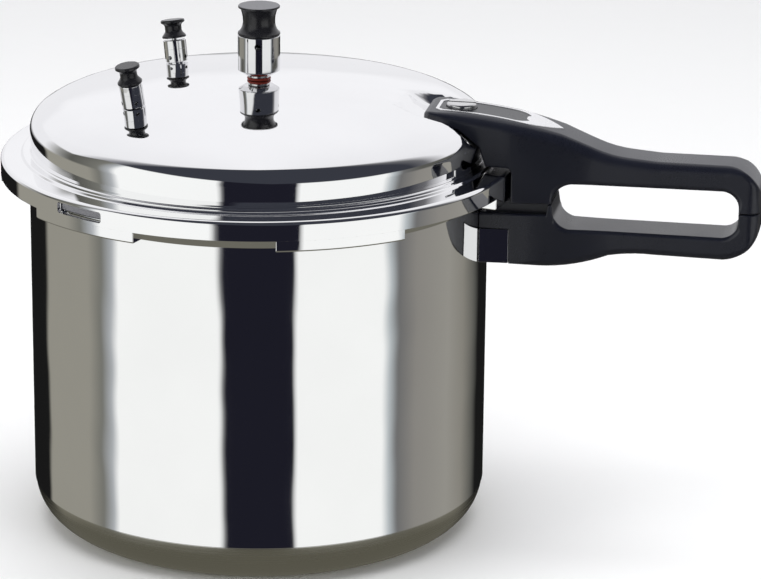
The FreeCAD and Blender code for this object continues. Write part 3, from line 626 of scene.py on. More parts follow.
class Wiring:
    """A material's nodes, added and linked in few words."""

    def __init__(self, tree: bpy.types.NodeTree) -> None:
        """Start from an empty tree."""
        self.tree = tree
        tree.nodes.clear()

    def add(self, kind: str, **settings: object) -> bpy.types.Node:
        """Add a node; settings that name a socket link or fill it, others are its properties.

        Args:
            kind: the node's type without its ShaderNode prefix.
            settings: property values, or in_NAME / in_NUMBER for sockets.

        Returns:
            The new node.
        """
        node = self.tree.nodes.new(f"ShaderNode{kind}")
        for key, value in settings.items():
            if not key.startswith("in_"):
                setattr(node, key, value)
        for key, value in settings.items():
            if key.startswith("in_"):
                name = key[3:]
                self.feed(node, int(name) if name.isdigit() else name.replace("_", " "), value)
        return node

    def feed(self, node: bpy.types.Node, name: int | str, value: object) -> None:
        """Link a result to a node's input or set it to a plain value; a colour gets its alpha.

        Args:
            node: the node.
            name: the input's name or number.
            value: a result or a plain value.
        """
        socket = node.inputs[name]
        if isinstance(value, Socket):
            self.tree.links.new(value, socket)
        elif socket.type == "RGBA":
            socket.default_value = (*value, 1)
        else:
            socket.default_value = value

    def math(self, operation: str, first: object, second: object = 0.0) -> Socket:
        """One sum; returns its result."""
        return self.add("Math", operation=operation, in_0=first, in_1=second).outputs[0]

    def noise(self, vector: Socket, scale: float, detail: float) -> Socket:
        """Noise of a scale per metre; returns its factor."""
        return self.add("TexNoise", in_Vector=vector, in_Scale=scale, in_Detail=detail).outputs["Fac"]

    def between(self, factor: Socket, low: float, high: float,
                start: float = 0.3, finish: float = 0.7) -> Socket:
        """Spread a factor's usual range over low to high; returns the result.

        Args:
            factor: what is spread.
            low: result at start.
            high: result at finish.
            start: the factor's low end.
            finish: the factor's high end.

        Returns:
            The result.
        """
        node = self.add("MapRange", in_Value=factor)
        for name, number in (("From Min", start), ("From Max", finish), ("To Min", low), ("To Max", high)):
            node.inputs[name].default_value = number
        return node.outputs[0]

    def blend(self, factor: Socket, first: Colour | Socket, second: Colour | Socket) -> Socket:
        """Mix two colours; returns the result."""
        return self.add("Mix", data_type="RGBA", in_0=factor, in_6=first, in_7=second).outputs[2]


@dataclass(frozen=True)
class Finish:
    """A plain finish with a fine grain; the base of all the others."""

    name: str
    colour: Colour
    roughness: float
    metallic: float = 0.0
    grain: float = 900.0
    depth: float = 0.00001
    mottle: float = 0.12

    def material(self) -> bpy.types.Material:
        """The finish as a material, made once.

        Returns:
            The material.
        """
        made = bpy.data.materials.get(self.name)
        if made:
            return made
        made = bpy.data.materials.new(self.name)
        made.use_nodes = True
        wiring = Wiring(made.node_tree)
        shader = wiring.add("BsdfPrincipled", in_Metallic=self.metallic)
        shader.inputs["Roughness"].default_value = self.roughness
        shader.inputs["Base Color"].default_value = (*self.colour, 1)
        made.diffuse_color = (*self.colour, 1)
        place = wiring.add("TexCoord").outputs["Object"]
        self.dress(wiring, shader, place)
        wiring.add("OutputMaterial", in_Surface=shader.outputs[0])
        return made

    def shades(self, dark: float, light: float) -> tuple[Colour, Colour]:
        """The colour made darker and lighter by two factors."""
        return tuple(tuple(min(1.0, channel * factor) for channel in self.colour)
                     for factor in (dark, light))

    def dress(self, wiring: Wiring, shader: bpy.types.Node, place: Socket) -> None:
        """Colour variation, uneven gloss and a fine bump.

        Args:
            wiring: the material's nodes.
            shader: its surface shader.
            place: object coordinates.
        """
        cloud = wiring.noise(place, 45.0, 4.0)
        tints = self.shades(1 - self.mottle, 1 + self.mottle)
        wiring.feed(shader, "Base Color", wiring.blend(cloud, *tints))
        speck = wiring.noise(place, self.grain, 2.0)
        wiring.feed(shader, "Roughness", wiring.between(speck, self.roughness * 0.9, self.roughness * 1.12))
        bump = wiring.add("Bump", in_Height=speck, in_Distance=self.depth, in_Strength=0.5)
        wiring.feed(shader, "Normal", bump.outputs[0])


@dataclass(frozen=True)
class TurnedMetal(Finish):
    """Metal finished on a lathe: faint rings round the Z axis over a soft polish."""

    lines: float = 1400.0
    line_depth: float = 0.0000012
    wave_depth: float = 0.0012
    band_top: float | None = None
    band_blur: float = 0.3
    # colour of the pot's base band: darker and olive, a painted reflection of the floor over the real satin
    # finish
    band_painted_reflection: Colour = (0.5, 0.5, 0.5)
    band_roughness: float = 0.3
    band_relief: float = 5.0

    def dress(self, wiring: Wiring, shader: bpy.types.Node, place: Socket) -> None:
        """Rings from radius and height, uneven polish and, on the pot, a satin band round the base whose
        darker olive colour is a painted reflection of the floor.

        Args:
            wiring: the material's nodes.
            shader: its surface shader.
            place: object coordinates.
        """
        axes = wiring.add("SeparateXYZ", in_Vector=place)
        squares = [wiring.math("MULTIPLY", axes.outputs[index], axes.outputs[index]) for index in (0, 1)]
        radius = wiring.math("SQRT", wiring.math("ADD", *squares))
        ring = wiring.add("CombineXYZ", in_X=radius, in_Y=0.0, in_Z=axes.outputs[2])
        rings = wiring.noise(ring.outputs[0], self.lines, 2.0)
        cloud = wiring.noise(place, 18.0, 5.0)
        haze = wiring.between(cloud, self.roughness * 0.75, self.roughness * 1.35)
        line_haze = wiring.between(rings, -self.roughness * 0.15, self.roughness * 0.25)
        gloss = wiring.math("ADD", haze, line_haze)
        tint = wiring.blend(wiring.between(cloud, 0.0, 1.0), *self.shades(0.965, 1.0))
        height = rings
        if self.band_top is not None:
            band_top = self.band_top * MM
            band = wiring.between(axes.outputs[2], 0.0, 1.0, band_top, band_top - self.band_blur * MM)
            satin = wiring.between(rings, self.band_roughness * 0.8, self.band_roughness * 1.2)
            gloss = wiring.add("Mix", data_type="FLOAT", in_0=band, in_2=gloss, in_3=satin).outputs[0]
            # painted floor reflection: the base band's colour is darkened and tinted olive; its satin gloss
            # and deeper rings are the real finish
            tint = wiring.blend(band, tint, self.band_painted_reflection)
            deeper = wiring.math("ADD", wiring.math("MULTIPLY", band, self.band_relief), 1.0)
            height = wiring.math("MULTIPLY", rings, deeper)
        wiring.feed(shader, "Base Color", tint)
        wiring.feed(shader, "Roughness", gloss)
        wave = wiring.add("Bump", in_Height=wiring.noise(place, 11.0, 2.0), in_Distance=self.wave_depth)
        bump = wiring.add("Bump", in_Height=height, in_Distance=self.line_depth, in_Normal=wave.outputs[0])
        wiring.feed(shader, "Normal", bump.outputs[0])


@dataclass(frozen=True)
class Moulding(Finish):
    """Compression-moulded black plastic: fine spark grain and slightly uneven sheen."""

    def dress(self, wiring: Wiring, shader: bpy.types.Node, place: Socket) -> None:
        """Two scales of grain, sheen that varies slowly.

        Args:
            wiring: the material's nodes.
            shader: its surface shader.
            place: object coordinates.
        """
        cloud = wiring.noise(place, 30.0, 5.0)
        wiring.feed(shader, "Base Color", wiring.blend(cloud, *self.shades(1.0, 1.35)))
        speck = wiring.noise(place, self.grain, 4.0)
        gloss = wiring.math("ADD", wiring.between(cloud, -0.03, 0.04),
                            wiring.between(speck, self.roughness * 0.9, self.roughness * 1.1))
        wiring.feed(shader, "Roughness", gloss)
        bump = wiring.add("Bump", in_Height=speck, in_Distance=self.depth, in_Strength=0.6)
        wiring.feed(shader, "Normal", bump.outputs[0])


# name, colour, roughness, metallic, grain per metre, bump in metres, mottle
# the base band's darker olive colour is a painted reflection of the floor; its satin roughness is the real
# finish
POT_FINISH = TurnedMetal("polished pot", (0.93, 0.93, 0.93), 0.045, 1.0, band_top=22.0,
                         band_painted_reflection=(0.62, 0.61, 0.55), band_roughness=0.24)
LID_FINISH = TurnedMetal("polished lid", (0.955, 0.955, 0.96), 0.035, 1.0)
CHROME = Finish("bright chrome", (0.80, 0.80, 0.81), 0.06, 1.0, 2500.0, 0.000001, 0.03)
STEEL = Finish("zinc steel", (0.62, 0.62, 0.61), 0.28, 1.0, 2200.0, 0.000004, 0.08)
TURNED_STEEL = Finish("turned steel", (0.66, 0.66, 0.66), 0.2, 1.0, 1800.0, 0.000003, 0.05)
BLACK_HANDLE = Moulding("black moulding", (0.0075, 0.0085, 0.0145), 0.3, 0.0, 2600.0, 0.000012)
BLACK_KNOB = Moulding("black knob", (0.010, 0.010, 0.012), 0.26, 0.0, 2200.0, 0.000006)
KNOB_FACE = Moulding("knob face", (0.07, 0.07, 0.08), 0.28, 0.0, 1500.0, 0.00001)
SILVER = Finish("silver trim", (0.90, 0.90, 0.91), 0.26, 1.0, 3000.0, 0.000002, 0.04)
DARK_TRIM = Moulding("dark trim", (0.012, 0.013, 0.016), 0.3, 0.0, 2400.0, 0.000008)
RUBBER = Finish("black rubber", (0.02, 0.02, 0.021), 0.65, 0.0, 1300.0, 0.00002, 0.25)
GREY_SILICONE = Finish("grey silicone", (0.26, 0.26, 0.28), 0.3, 0.0, 1300.0, 0.00001, 0.12)
RED_SILICONE = Finish("red silicone", (0.30, 0.035, 0.02), 0.45, 0.0, 1200.0, 0.00001, 0.2)
RACK_METAL = Finish("rack aluminium", (0.72, 0.72, 0.72), 0.34, 1.0, 900.0, 0.00001, 0.08)
FLOOR_PAINT = Finish("pale floor", (0.96, 0.96, 0.955), 0.7, 0.0, 300.0, 0.00001, 0.006)


# ---------------------------------------------------------------- shared places


RIM_LUG_REACH = 11.8
FLANGE_RISE = 15.6
SKIRT_DROP = 10.3
CROWN_RADIUS = 500.0
LUG_COUNT = 6
OVERLAP = 0.01


@dataclass(frozen=True)
class Places:
    """Heights and radii in millimetres that several pieces share, read from the frame."""

    pot_radius: float
    rim_top: float
    skirt_radius: float
    lug_bottom: float
    crown_top: float
    handle_end: float
    guard_low: float
    guard_high: float

    @classmethod
    def read(cls) -> "Places":
        """Read the frame's boxes.

        Returns:
            The shared places.
        """
        _, pot_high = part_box("pot_body")
        lid_low, lid_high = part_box("lid_shell")
        _, handle_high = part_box("lid_handle")
        guard_low, guard_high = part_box("flame_guard")
        bore_sink = 0.02  # the crown's highest point is bored away for the pipe
        return cls(
            pot_radius=round(pot_high.x / MM - RIM_LUG_REACH, 2), rim_top=pot_high.z / MM,
            skirt_radius=lid_high.x / MM, lug_bottom=lid_low.z / MM, crown_top=lid_high.z / MM + bore_sink,
            handle_end=handle_high.x / MM, guard_low=guard_low.z / MM, guard_high=guard_high.z / MM)

    @property
    def flange_top(self) -> float:
        """Upper face of the lid's flat rim."""
        return self.lug_bottom + FLANGE_RISE

    @property
    def skirt_bottom(self) -> float:
        """Lower edge of the lid's skirt between its lugs."""
        return self.flange_top - SKIRT_DROP

    def crown_at(self, radius: float) -> float:
        """Height of the lid's crown at a radius."""
        return self.crown_top - CROWN_RADIUS + math.sqrt(CROWN_RADIUS**2 - radius**2)


# ---------------------------------------------------------------- pot


@dataclass
class Pot:
    """The turned pot with its rim, rim lugs and satin base band; the band's darker olive colour is a
    painted reflection of the floor.
    """

    at: Places
    wall: float = 3.0
    base: float = 5.0
    base_radius: float = 101.0
    base_curve: float = 24.0
    band_height: float = 22.0
    band_step: float = 0.4
    inner_corner: float = 16.0
    rim_thickness: float = 3.5
    rim_reach: float = 4.0
    rim_root: float = 7.0
    lug_angle: float = 27.0
    steps: int = 360

    def section(self) -> list[Corner]:
        """Half section from the outside of the base round to the inside.

        Returns:
            The open outline, from the axis back to the axis.
        """
        radius, inner = self.at.pot_radius, self.at.pot_radius - self.wall
        band = radius - self.band_step
        under = self.at.rim_top - self.rim_thickness
        return [
            Corner(0, 0),
            Corner(self.base_radius * 0.86, 0),
            Corner(self.base_radius, 0, bend=self.base_curve),
            Corner(band, self.band_height - 0.3),
            Corner(band, self.band_height, fillet=0.1),
            Corner(radius, self.band_height + 0.3, fillet=0.15),
            Corner(radius, 60),
            Corner(radius, 120),
            Corner(radius, under - self.rim_root, fillet=1.5),
            Corner(radius + self.rim_reach, under, fillet=0.5),
            Corner(radius + self.rim_reach, self.at.rim_top, fillet=0.8),
            Corner(inner, self.at.rim_top, fillet=0.8),
            Corner(inner, self.base + self.inner_corner, bend=-self.inner_corner),
            Corner(inner - self.inner_corner, self.base),
            Corner(0, self.base),
        ]

    def build(self) -> Piece:
        """Turn the pot, add its rim lugs and dress it.

        Returns:
            The finished pot.
        """
        piece = lathe("pot", self.section(), self.steps, closed=False)
        root, outer = self.at.pot_radius + 1, self.at.pot_radius + RIM_LUG_REACH
        low, high = self.at.rim_top - self.rim_thickness + OVERLAP, self.at.rim_top - OVERLAP
        outline = [Corner(root, low), Corner(outer, low), Corner(outer, high), Corner(root, high)]
        lug = sector("rim_lug", outline, self.lug_angle, 0)
        soften(lug, 0.6, 2)
        combine(piece, copy_round(lug, LUG_COUNT), Join.ADD)
        show(piece, POT_FINISH, "pot", "pot_body")
        return piece


# ---------------------------------------------------------------- lid


# distance from the axis, height above the flange
HOLLOW_FLOOR = ((80.0, 30.0), (87.0, 23.2), (94.0, 22.4), (107.4, 20.9), (118.1, 12.0), (121.6, 3.6))


@dataclass
class Lid:
    """The domed bayonet lid: skirt, raised step, dome, hollow for the handle, six lugs."""

    at: Places
    sheet: float = 2.5
    skirt_wall: float = 2.5
    flange_edge: float = 2.2
    flange_thickness: float = 2.8
    step_rise: float = 1.8
    step_width: float = 4.4
    neck_inset: float = 1.0
    dome_inset: float = 0.5
    dome_wide: float = 13.0
    side_radius: float = 125.0
    corner_radius: float = 10.4
    corner_angle: float = 35.0
    shoulder_radius: float = 40.3
    shoulder_width: float = 19.5
    shoulder_rise: float = 28.0
    shoulder_drop: float = 6.0
    lug_angle: float = 29.0
    hook_reach: float = 5.0
    window_angle: float = 13.0
    window_azimuth: float = -120.0
    window_drop: float = 8.2
    window_height: float = 5.9
    mark_azimuth: float = -23.5
    mark_width: float = 9.0
    mark_height: float = 4.0
    mark_drop: float = 9.6
    mark_depth: float = 1.0
    pocket_start: float = 88.0
    pocket_half: float = 18.5
    pocket_slope: float = 6.5
    pocket_lead: float = 12.0
    pocket_lowest: float = 2.6
    pocket_curve: float = 1.7
    pipe_hole: float = 4.9
    crisp_angle: float = 35.0
    steps: int = 480

    @property
    def dome_radius(self) -> float:
        """Widest part of the dome."""
        return self.at.pot_radius - self.dome_inset

    @property
    def shoulder_start(self) -> float:
        """Radius where the crown becomes the shoulder."""
        return self.dome_radius - self.shoulder_width

    def dome(self, inset: float) -> list[Corner]:
        """The dome from its widest part up to the axis, moved inwards by a sheet's thickness.

        Args:
            inset: zero for the outside, the sheet's thickness for the inside.

        Returns:
            Corners from the widest part to the axis.
        """
        top = self.at.flange_top
        slope = self.shoulder_start / CROWN_RADIUS
        level = math.sqrt(1 - slope * slope)
        turn = math.radians(self.corner_angle)
        reach = self.corner_radius - inset
        wide = top + self.dome_wide
        return [
            Corner(self.dome_radius - inset, wide, bend=reach),
            Corner(self.dome_radius - self.corner_radius + math.sin(turn) * reach,
                   wide + math.cos(turn) * reach, bend=self.shoulder_radius - inset),
            Corner(self.shoulder_start - slope * inset, top + self.shoulder_rise - level * inset,
                   bend=CROWN_RADIUS - inset),
            Corner(0, self.at.crown_top - inset),
        ]

    def section(self) -> list[Corner]:
        """Half section: up the outside of the skirt to the crown, then back along the inside.

        Returns:
            The closed outline.
        """
        top, skirt = self.at.flange_top, self.at.skirt_radius
        neck = self.at.pot_radius - self.neck_inset
        step_outer = neck + self.step_width
        under = top - self.flange_thickness
        inner = skirt - self.skirt_wall
        outside = [
            Corner(inner, self.at.skirt_bottom, fillet=0.3),
            Corner(skirt, self.at.skirt_bottom, fillet=0.5),
            Corner(skirt, top - self.flange_edge, bend=self.flange_edge),
            Corner(skirt - self.flange_edge, top),
            Corner(step_outer + 0.8, top + 0.5, fillet=0.25),
            Corner(step_outer, top + self.step_rise, fillet=0.8),
            Corner(neck, top + self.step_rise, fillet=0.8, bend=self.side_radius),
            *self.dome(0),
        ]
        inside = [
            *reversed([Corner(corner.x, corner.y) for corner in self.dome(self.sheet)]),
            Corner(neck - self.sheet, top + 1.2),
            Corner(neck - self.sheet, under, fillet=0.8),
            Corner(inner, under, fillet=0.8),
        ]
        bends = [-(CROWN_RADIUS - self.sheet), -(self.shoulder_radius - self.sheet),
                 -(self.corner_radius - self.sheet), -(self.side_radius - self.sheet)]
        bent = [Corner(corner.x, corner.y, bend=bend) for corner, bend in zip(inside, bends)]
        return [*outside, *bent, *inside[len(bends):]]

    def hollow_floor(self, x: float) -> float:
        """Height of the hollow's floor under the handle's nose, x being the distance along it.

        Args:
            x: in millimetres.

        Returns:
            The height in millimetres.
        """
        for (x0, z0), (x1, z1) in zip(HOLLOW_FLOOR, HOLLOW_FLOOR[1:]):
            if x <= x1:
                return self.at.flange_top + z0 + (z1 - z0) * (x - x0) / (x1 - x0)
        return self.at.flange_top

    def press_hollow(self, piece: Piece) -> None:
        """Sink the sheet under the handle's nose, with softly rounded shoulders round it.

        Args:
            piece: the turned lid.
        """
        lowest = self.at.flange_top + self.pocket_lowest
        for vertex in piece.data.vertices:
            x, y, z = vertex.co / MM
            if x < self.pocket_start - 28 or z < lowest:
                continue
            outside = z > lowest and self.skin_height(math.hypot(x, y)) - z < self.sheet * 0.6
            half = self.pocket_half - 5.0 * settle(90, 80, x)
            reach = self.pocket_slope + 4.0 * settle(101, 111, x) + 6.0 * settle(111, 114, x)
            beside = max(0.0, abs(y) - half)
            ahead = max(0.0, self.pocket_start - x)
            gone = min(1.0, math.hypot(beside / reach, ahead / self.pocket_lead))
            weight = 1 - gone ** self.pocket_curve
            floor = self.hollow_floor(max(x, self.pocket_start - 2)) - (0 if outside else self.sheet)
            if weight > 0 and z > floor:
                vertex.co.z = (z - weight * (z - floor)) * MM
        piece.data.update()

    def skin_height(self, radius: float) -> float:
        """Height of the dome's outside at a radius, as if it had no hollow.

        Args:
            radius: in millimetres.

        Returns:
            The height in millimetres.
        """
        if radius <= self.shoulder_start:
            return self.at.crown_at(radius)
        share = (min(radius, self.dome_radius) - self.shoulder_start) / self.shoulder_width
        steep = self.shoulder_rise - self.shoulder_drop - self.dome_wide
        return self.at.flange_top + self.shoulder_rise - self.shoulder_drop * share - steep * share**5

    def lug_section(self) -> list[Corner]:
        """Section of one lid lug, with its hook under the rim.

        Returns:
            The closed outline.
        """
        skirt, inner = self.at.skirt_radius, self.at.skirt_radius - self.skirt_wall
        hook, shelf = self.at.pot_radius + self.hook_reach, self.at.rim_top - 3.9
        low = self.at.lug_bottom
        return [
            Corner(hook, low, fillet=0.4),
            Corner(skirt - OVERLAP, low, fillet=1.0),
            Corner(skirt - OVERLAP, self.at.skirt_bottom + 2),
            Corner(inner + 0.3, self.at.skirt_bottom + 2),
            Corner(inner + 0.3, shelf),
            Corner(hook, shelf, fillet=0.4),
        ]

    def mark(self) -> Piece:
        """Cutter for the shallow locking mark on the dome's side.

        Returns:
            The cutter.
        """
        half, low = self.mark_width / 2, self.at.flange_top + self.dome_wide - self.mark_drop
        cutter = block("mark", Vector((self.dome_radius - self.mark_depth, -half, low)),
                       Vector((self.dome_radius + 4, half, low + self.mark_height)))
        soften(cutter, 0.5, 3)
        cutter.rotation_euler.z = math.radians(self.mark_azimuth)
        freeze(cutter)
        return cutter

    def window(self) -> Piece:
        """Cutter for the gasket window, rounded at its ends.

        Returns:
            The cutter.
        """
        root, outer = self.at.skirt_radius - self.skirt_wall - 0.4, self.at.skirt_radius + 1
        low = self.at.flange_top - self.window_drop
        high = low + self.window_height
        outline = [Corner(root, low), Corner(outer, low), Corner(outer, high), Corner(root, high)]
        cutter = sector("window", outline, self.window_angle, self.window_azimuth)
        soften(cutter, 1.6, 5)
        return cutter

    def build(self) -> Piece:
        """Turn the lid, press its hollow, add lugs, cut its openings and dress it.

        Returns:
            The finished lid.
        """
        piece = lathe("lid", self.section(), self.steps)
        self.press_hollow(piece)
        lug = sector("lid_lug", self.lug_section(), self.lug_angle, 0)
        soften(lug, 1.3, 4, angle=60)
        combine(piece, copy_round(lug, LUG_COUNT), Join.ADD)
        combine(piece, self.window())
        combine(piece, self.mark())
        combine(piece, rod("pipe_hole", self.pipe_hole, 20, Vector((0, 0, self.at.crown_top))))
        show(piece, LID_FINISH, "lid", "lid_shell", self.crisp_angle)
        return piece


# ---------------------------------------------------------------- handle


@dataclass
class HandleHalf:
    """What both moulded halves of the handle share; each has its own side view and edges."""

    at: Places
    root_half: float = 18.0
    grip_half: float = 13.2
    edge: float = 2.8
    waist: Point = (10.0, 58.0)
    end_share: float = 0.45
    eye_start: float = 36.0
    eye_wall: float = 10.8

    def side(self) -> list[Corner]:
        """Side view."""
        raise NotImplementedError

    def edge_at(self, place: Point) -> float:
        """Rounding of the moulding's edge at a place of the side view."""
        raise NotImplementedError

    def half_width(self, x: float) -> float:
        """Half of the width at a distance along the handle: a waist, then a rounded end.

        Args:
            x: in millimetres.

        Returns:
            The half width in millimetres.
        """
        pot, (low, high) = self.at.pot_radius, self.waist
        wide = self.root_half + (self.grip_half - self.root_half) * settle(pot + low, pot + high, x)
        rounding = self.grip_half * self.end_share
        ahead = max(0.0, (x - (self.at.handle_end - rounding)) / rounding)
        return wide - rounding * (1 - math.sqrt(max(0.0, 1 - ahead**2)))

    def mould(self, name: str, near: Sequence[float], waist_end: float) -> Piece:
        """The half as one solid: a slab with rounded edges, narrowed along its length.

        Args:
            name: the new piece's name.
            near: where it is scored from the pot to the waist's end.
            waist_end: where the straight grip begins.

        Returns:
            The closed half.
        """
        wide, end = self.root_half, self.at.handle_end
        piece = slab(name, self.side(), (-wide, wide))
        round_over(piece, self.side(), wide, self.edge_at)
        slice_along(piece, [*near, *spread(waist_end, end - 8, 12), *spread(end - 8, end, 1.3)])
        narrow(piece, lambda x: self.half_width(x) / wide)
        return piece


@dataclass
class LidHandle(HandleHalf):
    """The upper handle half with its trim plate, dark insert and slotted nut."""

    nose_reach: float = 32.2
    top_arc: float = 240.0
    badge_proud: float = 0.3
    badge_depth: float = 1.2
    badge_half: float = 11.5
    nut_radius: float = 7.8
    nut_inset: float = 13.2
    nut_gap: float = 0.3
    nut_seat: float = 26.65
    nut_top: float = 31.6
    stud_radius: float = 3.05

    def top(self, x: float) -> float:
        """Height of the handle's upper edge along its arched part.

        Args:
            x: in millimetres.

        Returns:
            The height in millimetres.
        """
        start = Vector((self.at.pot_radius + 40.0, self.at.flange_top + 20.2))
        finish = Vector((self.at.pot_radius - 24.0, self.at.flange_top + 29.6))
        chord = finish - start
        half = chord.length / 2
        rise = math.sqrt(self.top_arc**2 - half**2)
        centre = start + chord / 2 + Vector((-chord.y, chord.x)).normalized() * rise
        return centre.y + math.sqrt(self.top_arc**2 - (x - centre.x) ** 2)

    def side(self) -> list[Corner]:
        """Side view, from the underside of the nose round to its top.

        Returns:
            The closed outline.
        """
        pot, top, end = self.at.pot_radius, self.at.flange_top, self.at.handle_end
        split = top - 16.2
        finger = top - 5.2
        grip = finger + 13.2
        eye_start, eye_end = pot + self.eye_start, end - self.eye_wall
        face = self.at.skirt_radius + 0.5
        notch = top + 2.4
        return [
            Corner(pot - 31.2, top + 23.4, fillet=1.4),
            Corner(pot - 12.6, top + 21.3),
            Corner(pot - 1.5, top + 12.6),
            Corner(pot + 2, notch),
            Corner(face - 3, notch, bend=-3.2),
            Corner(face, notch - 3),
            Corner(face, split),
            Corner(eye_start, split, bend=-11),
            Corner(eye_start + 10.6, finger - 0.6),
            Corner(eye_end - 8.7, finger, bend=-9),
            Corner(eye_end, finger - 8.7),
            Corner(eye_end, split),
            Corner(end, split),
            Corner(end, finger - 0.8, bend=18),
            Corner(end - 17, grip, fillet=20),
            Corner(pot + 90, grip, fillet=60),
            Corner(pot + 66, grip + 1.9, fillet=60),
            Corner(pot + 40, top + 20.2, bend=self.top_arc),
            Corner(pot - 24, top + 29.6),
            Corner(pot - 28, top + 29.6, fillet=3),
            Corner(pot - 30.8, top + 28.6, fillet=2.2),
        ]

    def half_width(self, x: float) -> float:
        """Half of the width, rounded at the nose too.

        Args:
            x: in millimetres.

        Returns:
            The half width in millimetres.
        """
        rounding = self.root_half * self.end_share
        back = max(0.0, 1 - (x - (self.at.pot_radius - self.nose_reach)) / rounding)
        return super().half_width(x) - rounding * back**2.2

    def edge_at(self, place: Point) -> float:
        """Rounding of the moulding's edge at a place: generous on top, tight at the joint.

        Args:
            place: a point of the side view.

        Returns:
            The radius in millimetres.
        """
        x, z = place
        pot, top = self.at.pot_radius, self.at.flange_top
        crest = self.top(x) if x < pot + 60 else top + 8.0
        if z > crest - 1.5:
            end = settle(self.at.handle_end - 22, self.at.handle_end - 4, x)
            return (2.0 + 4.0 * settle(pot - 31, pot, x)) * (1 - end * 0.45)
        if x < self.at.skirt_radius + 1:
            return 1.0
        return 0.8 + (self.edge - 0.8) * settle(top - 16, top - 10, z)

    def build_grip(self) -> Piece:
        """The moulding itself.

        Returns:
            The finished upper handle half.
        """
        pot = self.at.pot_radius
        near = [*spread(pot - 32, pot + 8, 4), *spread(pot + 8, pot + 60, 3.5)]
        piece = self.mould("lid_handle_moulding", near, pot + 60)
        combine(piece, self.nut_way("nut_hole", 20, 36.6))
        combine(piece, self.plate("badge_seat", self.badge_outline(-0.1), 6, self.badge_depth + 0.05))
        show(piece, BLACK_HANDLE, "lid", "lid_handle")
        return piece

    def nut_way(self, name: str, length: float, height: float) -> Piece:
        """Cutter for the nut's hole, its middle at a height above the flange."""
        middle = Vector((self.at.pot_radius - self.nut_inset, 0, self.at.flange_top + height))
        return rod(name, self.nut_radius + self.nut_gap, length, middle)

    def badge_outline(self, inset: float) -> list[Corner]:
        """Plan of the trim plate: cropped corners at the nose, a drop-shaped tip.

        Args:
            inset: how far inside the plate's edge it runs.

        Returns:
            The closed outline.
        """
        half = self.badge_half - inset
        start = self.at.pot_radius - 25.5 + inset
        shoulder = self.at.pot_radius + 22
        return [
            Corner(start, -(half - 3), fillet=1), Corner(start + 3, -half, fillet=1),
            Corner(shoulder, -half, bend=42), Corner(self.at.pot_radius + 40 - inset, 0, bend=42),
            Corner(shoulder, half), Corner(start + 3, half, fillet=1), Corner(start, half - 3, fillet=1),
        ]

    def insert_outline(self, gap: float) -> list[Corner]:
        """Plan of the dark insert with its scalloped end.

        Args:
            gap: how far inside the insert's edge it runs.

        Returns:
            The closed outline.
        """
        half = self.badge_half - 1.8 - gap
        start = self.at.pot_radius - 23.7 + gap
        end = self.at.pot_radius + 23.5 - gap
        return [
            Corner(start, -(half - 2.4)), Corner(start + 2.4, -half), Corner(end - 8, -half, bend=9),
            Corner(end - 1, -half * 0.45, bend=-4), Corner(end - 2.5, 0, bend=-4),
            Corner(end - 1, half * 0.45, bend=9), Corner(end - 8, half), Corner(start + 2.4, half),
            Corner(start, half - 2.4),
        ]

    def plate(self, name: str, outline: list[Corner], proud: float, depth: float) -> Piece:
        """A sheet cut to a plan that follows the handle's arched top.

        Args:
            name: the new piece's name.
            outline: its plan.
            proud: height of its upper face above the handle.
            depth: how deep it is let in.

        Returns:
            The closed sheet.
        """
        piece = slab(name, outline, (-depth, proud), plan=True)
        xs = [vertex.co.x / MM for vertex in piece.data.vertices]
        slice_along(piece, spread(min(xs), max(xs), 4))
        shape_slices(piece, lambda x: bpy.ops.transform.translate(value=(0, 0, self.top(x) * MM)))
        return piece

    def build_badge(self) -> None:
        """Trim plate and its insert, with a way cut through both for the slotted nut."""
        trim = self.plate("trim_plate", self.badge_outline(0), self.badge_proud, self.badge_depth)
        combine(trim, self.plate("trim_hole", self.insert_outline(0), 4, 4))
        combine(trim, self.nut_way("nut_way", 30, 30))
        soften(trim, 0.25, 2)
        show(trim, SILVER, "lid", "badge_frame")
        insert = self.plate("dark_insert", self.insert_outline(0.05), 0.0, self.badge_depth)
        combine(insert, self.nut_way("insert_way", 30, 30))
        soften(insert, 0.15, 1)
        show(insert, DARK_TRIM, "lid", "badge_insert")

    def build_nut(self) -> None:
        """The slotted nut."""
        top, seat = self.at.flange_top + self.nut_top, self.at.flange_top + self.nut_seat
        ceiling = seat + 3.2
        nut = lathe("slotted_nut", [
            Corner(self.stud_radius, seat), Corner(self.nut_radius, seat, fillet=0.3),
            Corner(self.nut_radius, top, fillet=1.2), Corner(2.0, top), Corner(0, top),
            Corner(0, ceiling), Corner(self.stud_radius, ceiling),
        ])
        combine(nut, block("slot", Vector((-9, -0.9, top - 1.3)), Vector((9, 0.9, top + 1))))
        soften(nut, 0.2, 2)
        nut.location.x = (self.at.pot_radius - self.nut_inset) * MM
        freeze(nut)
        show(nut, TURNED_STEEL, "lid", "handle_nut")


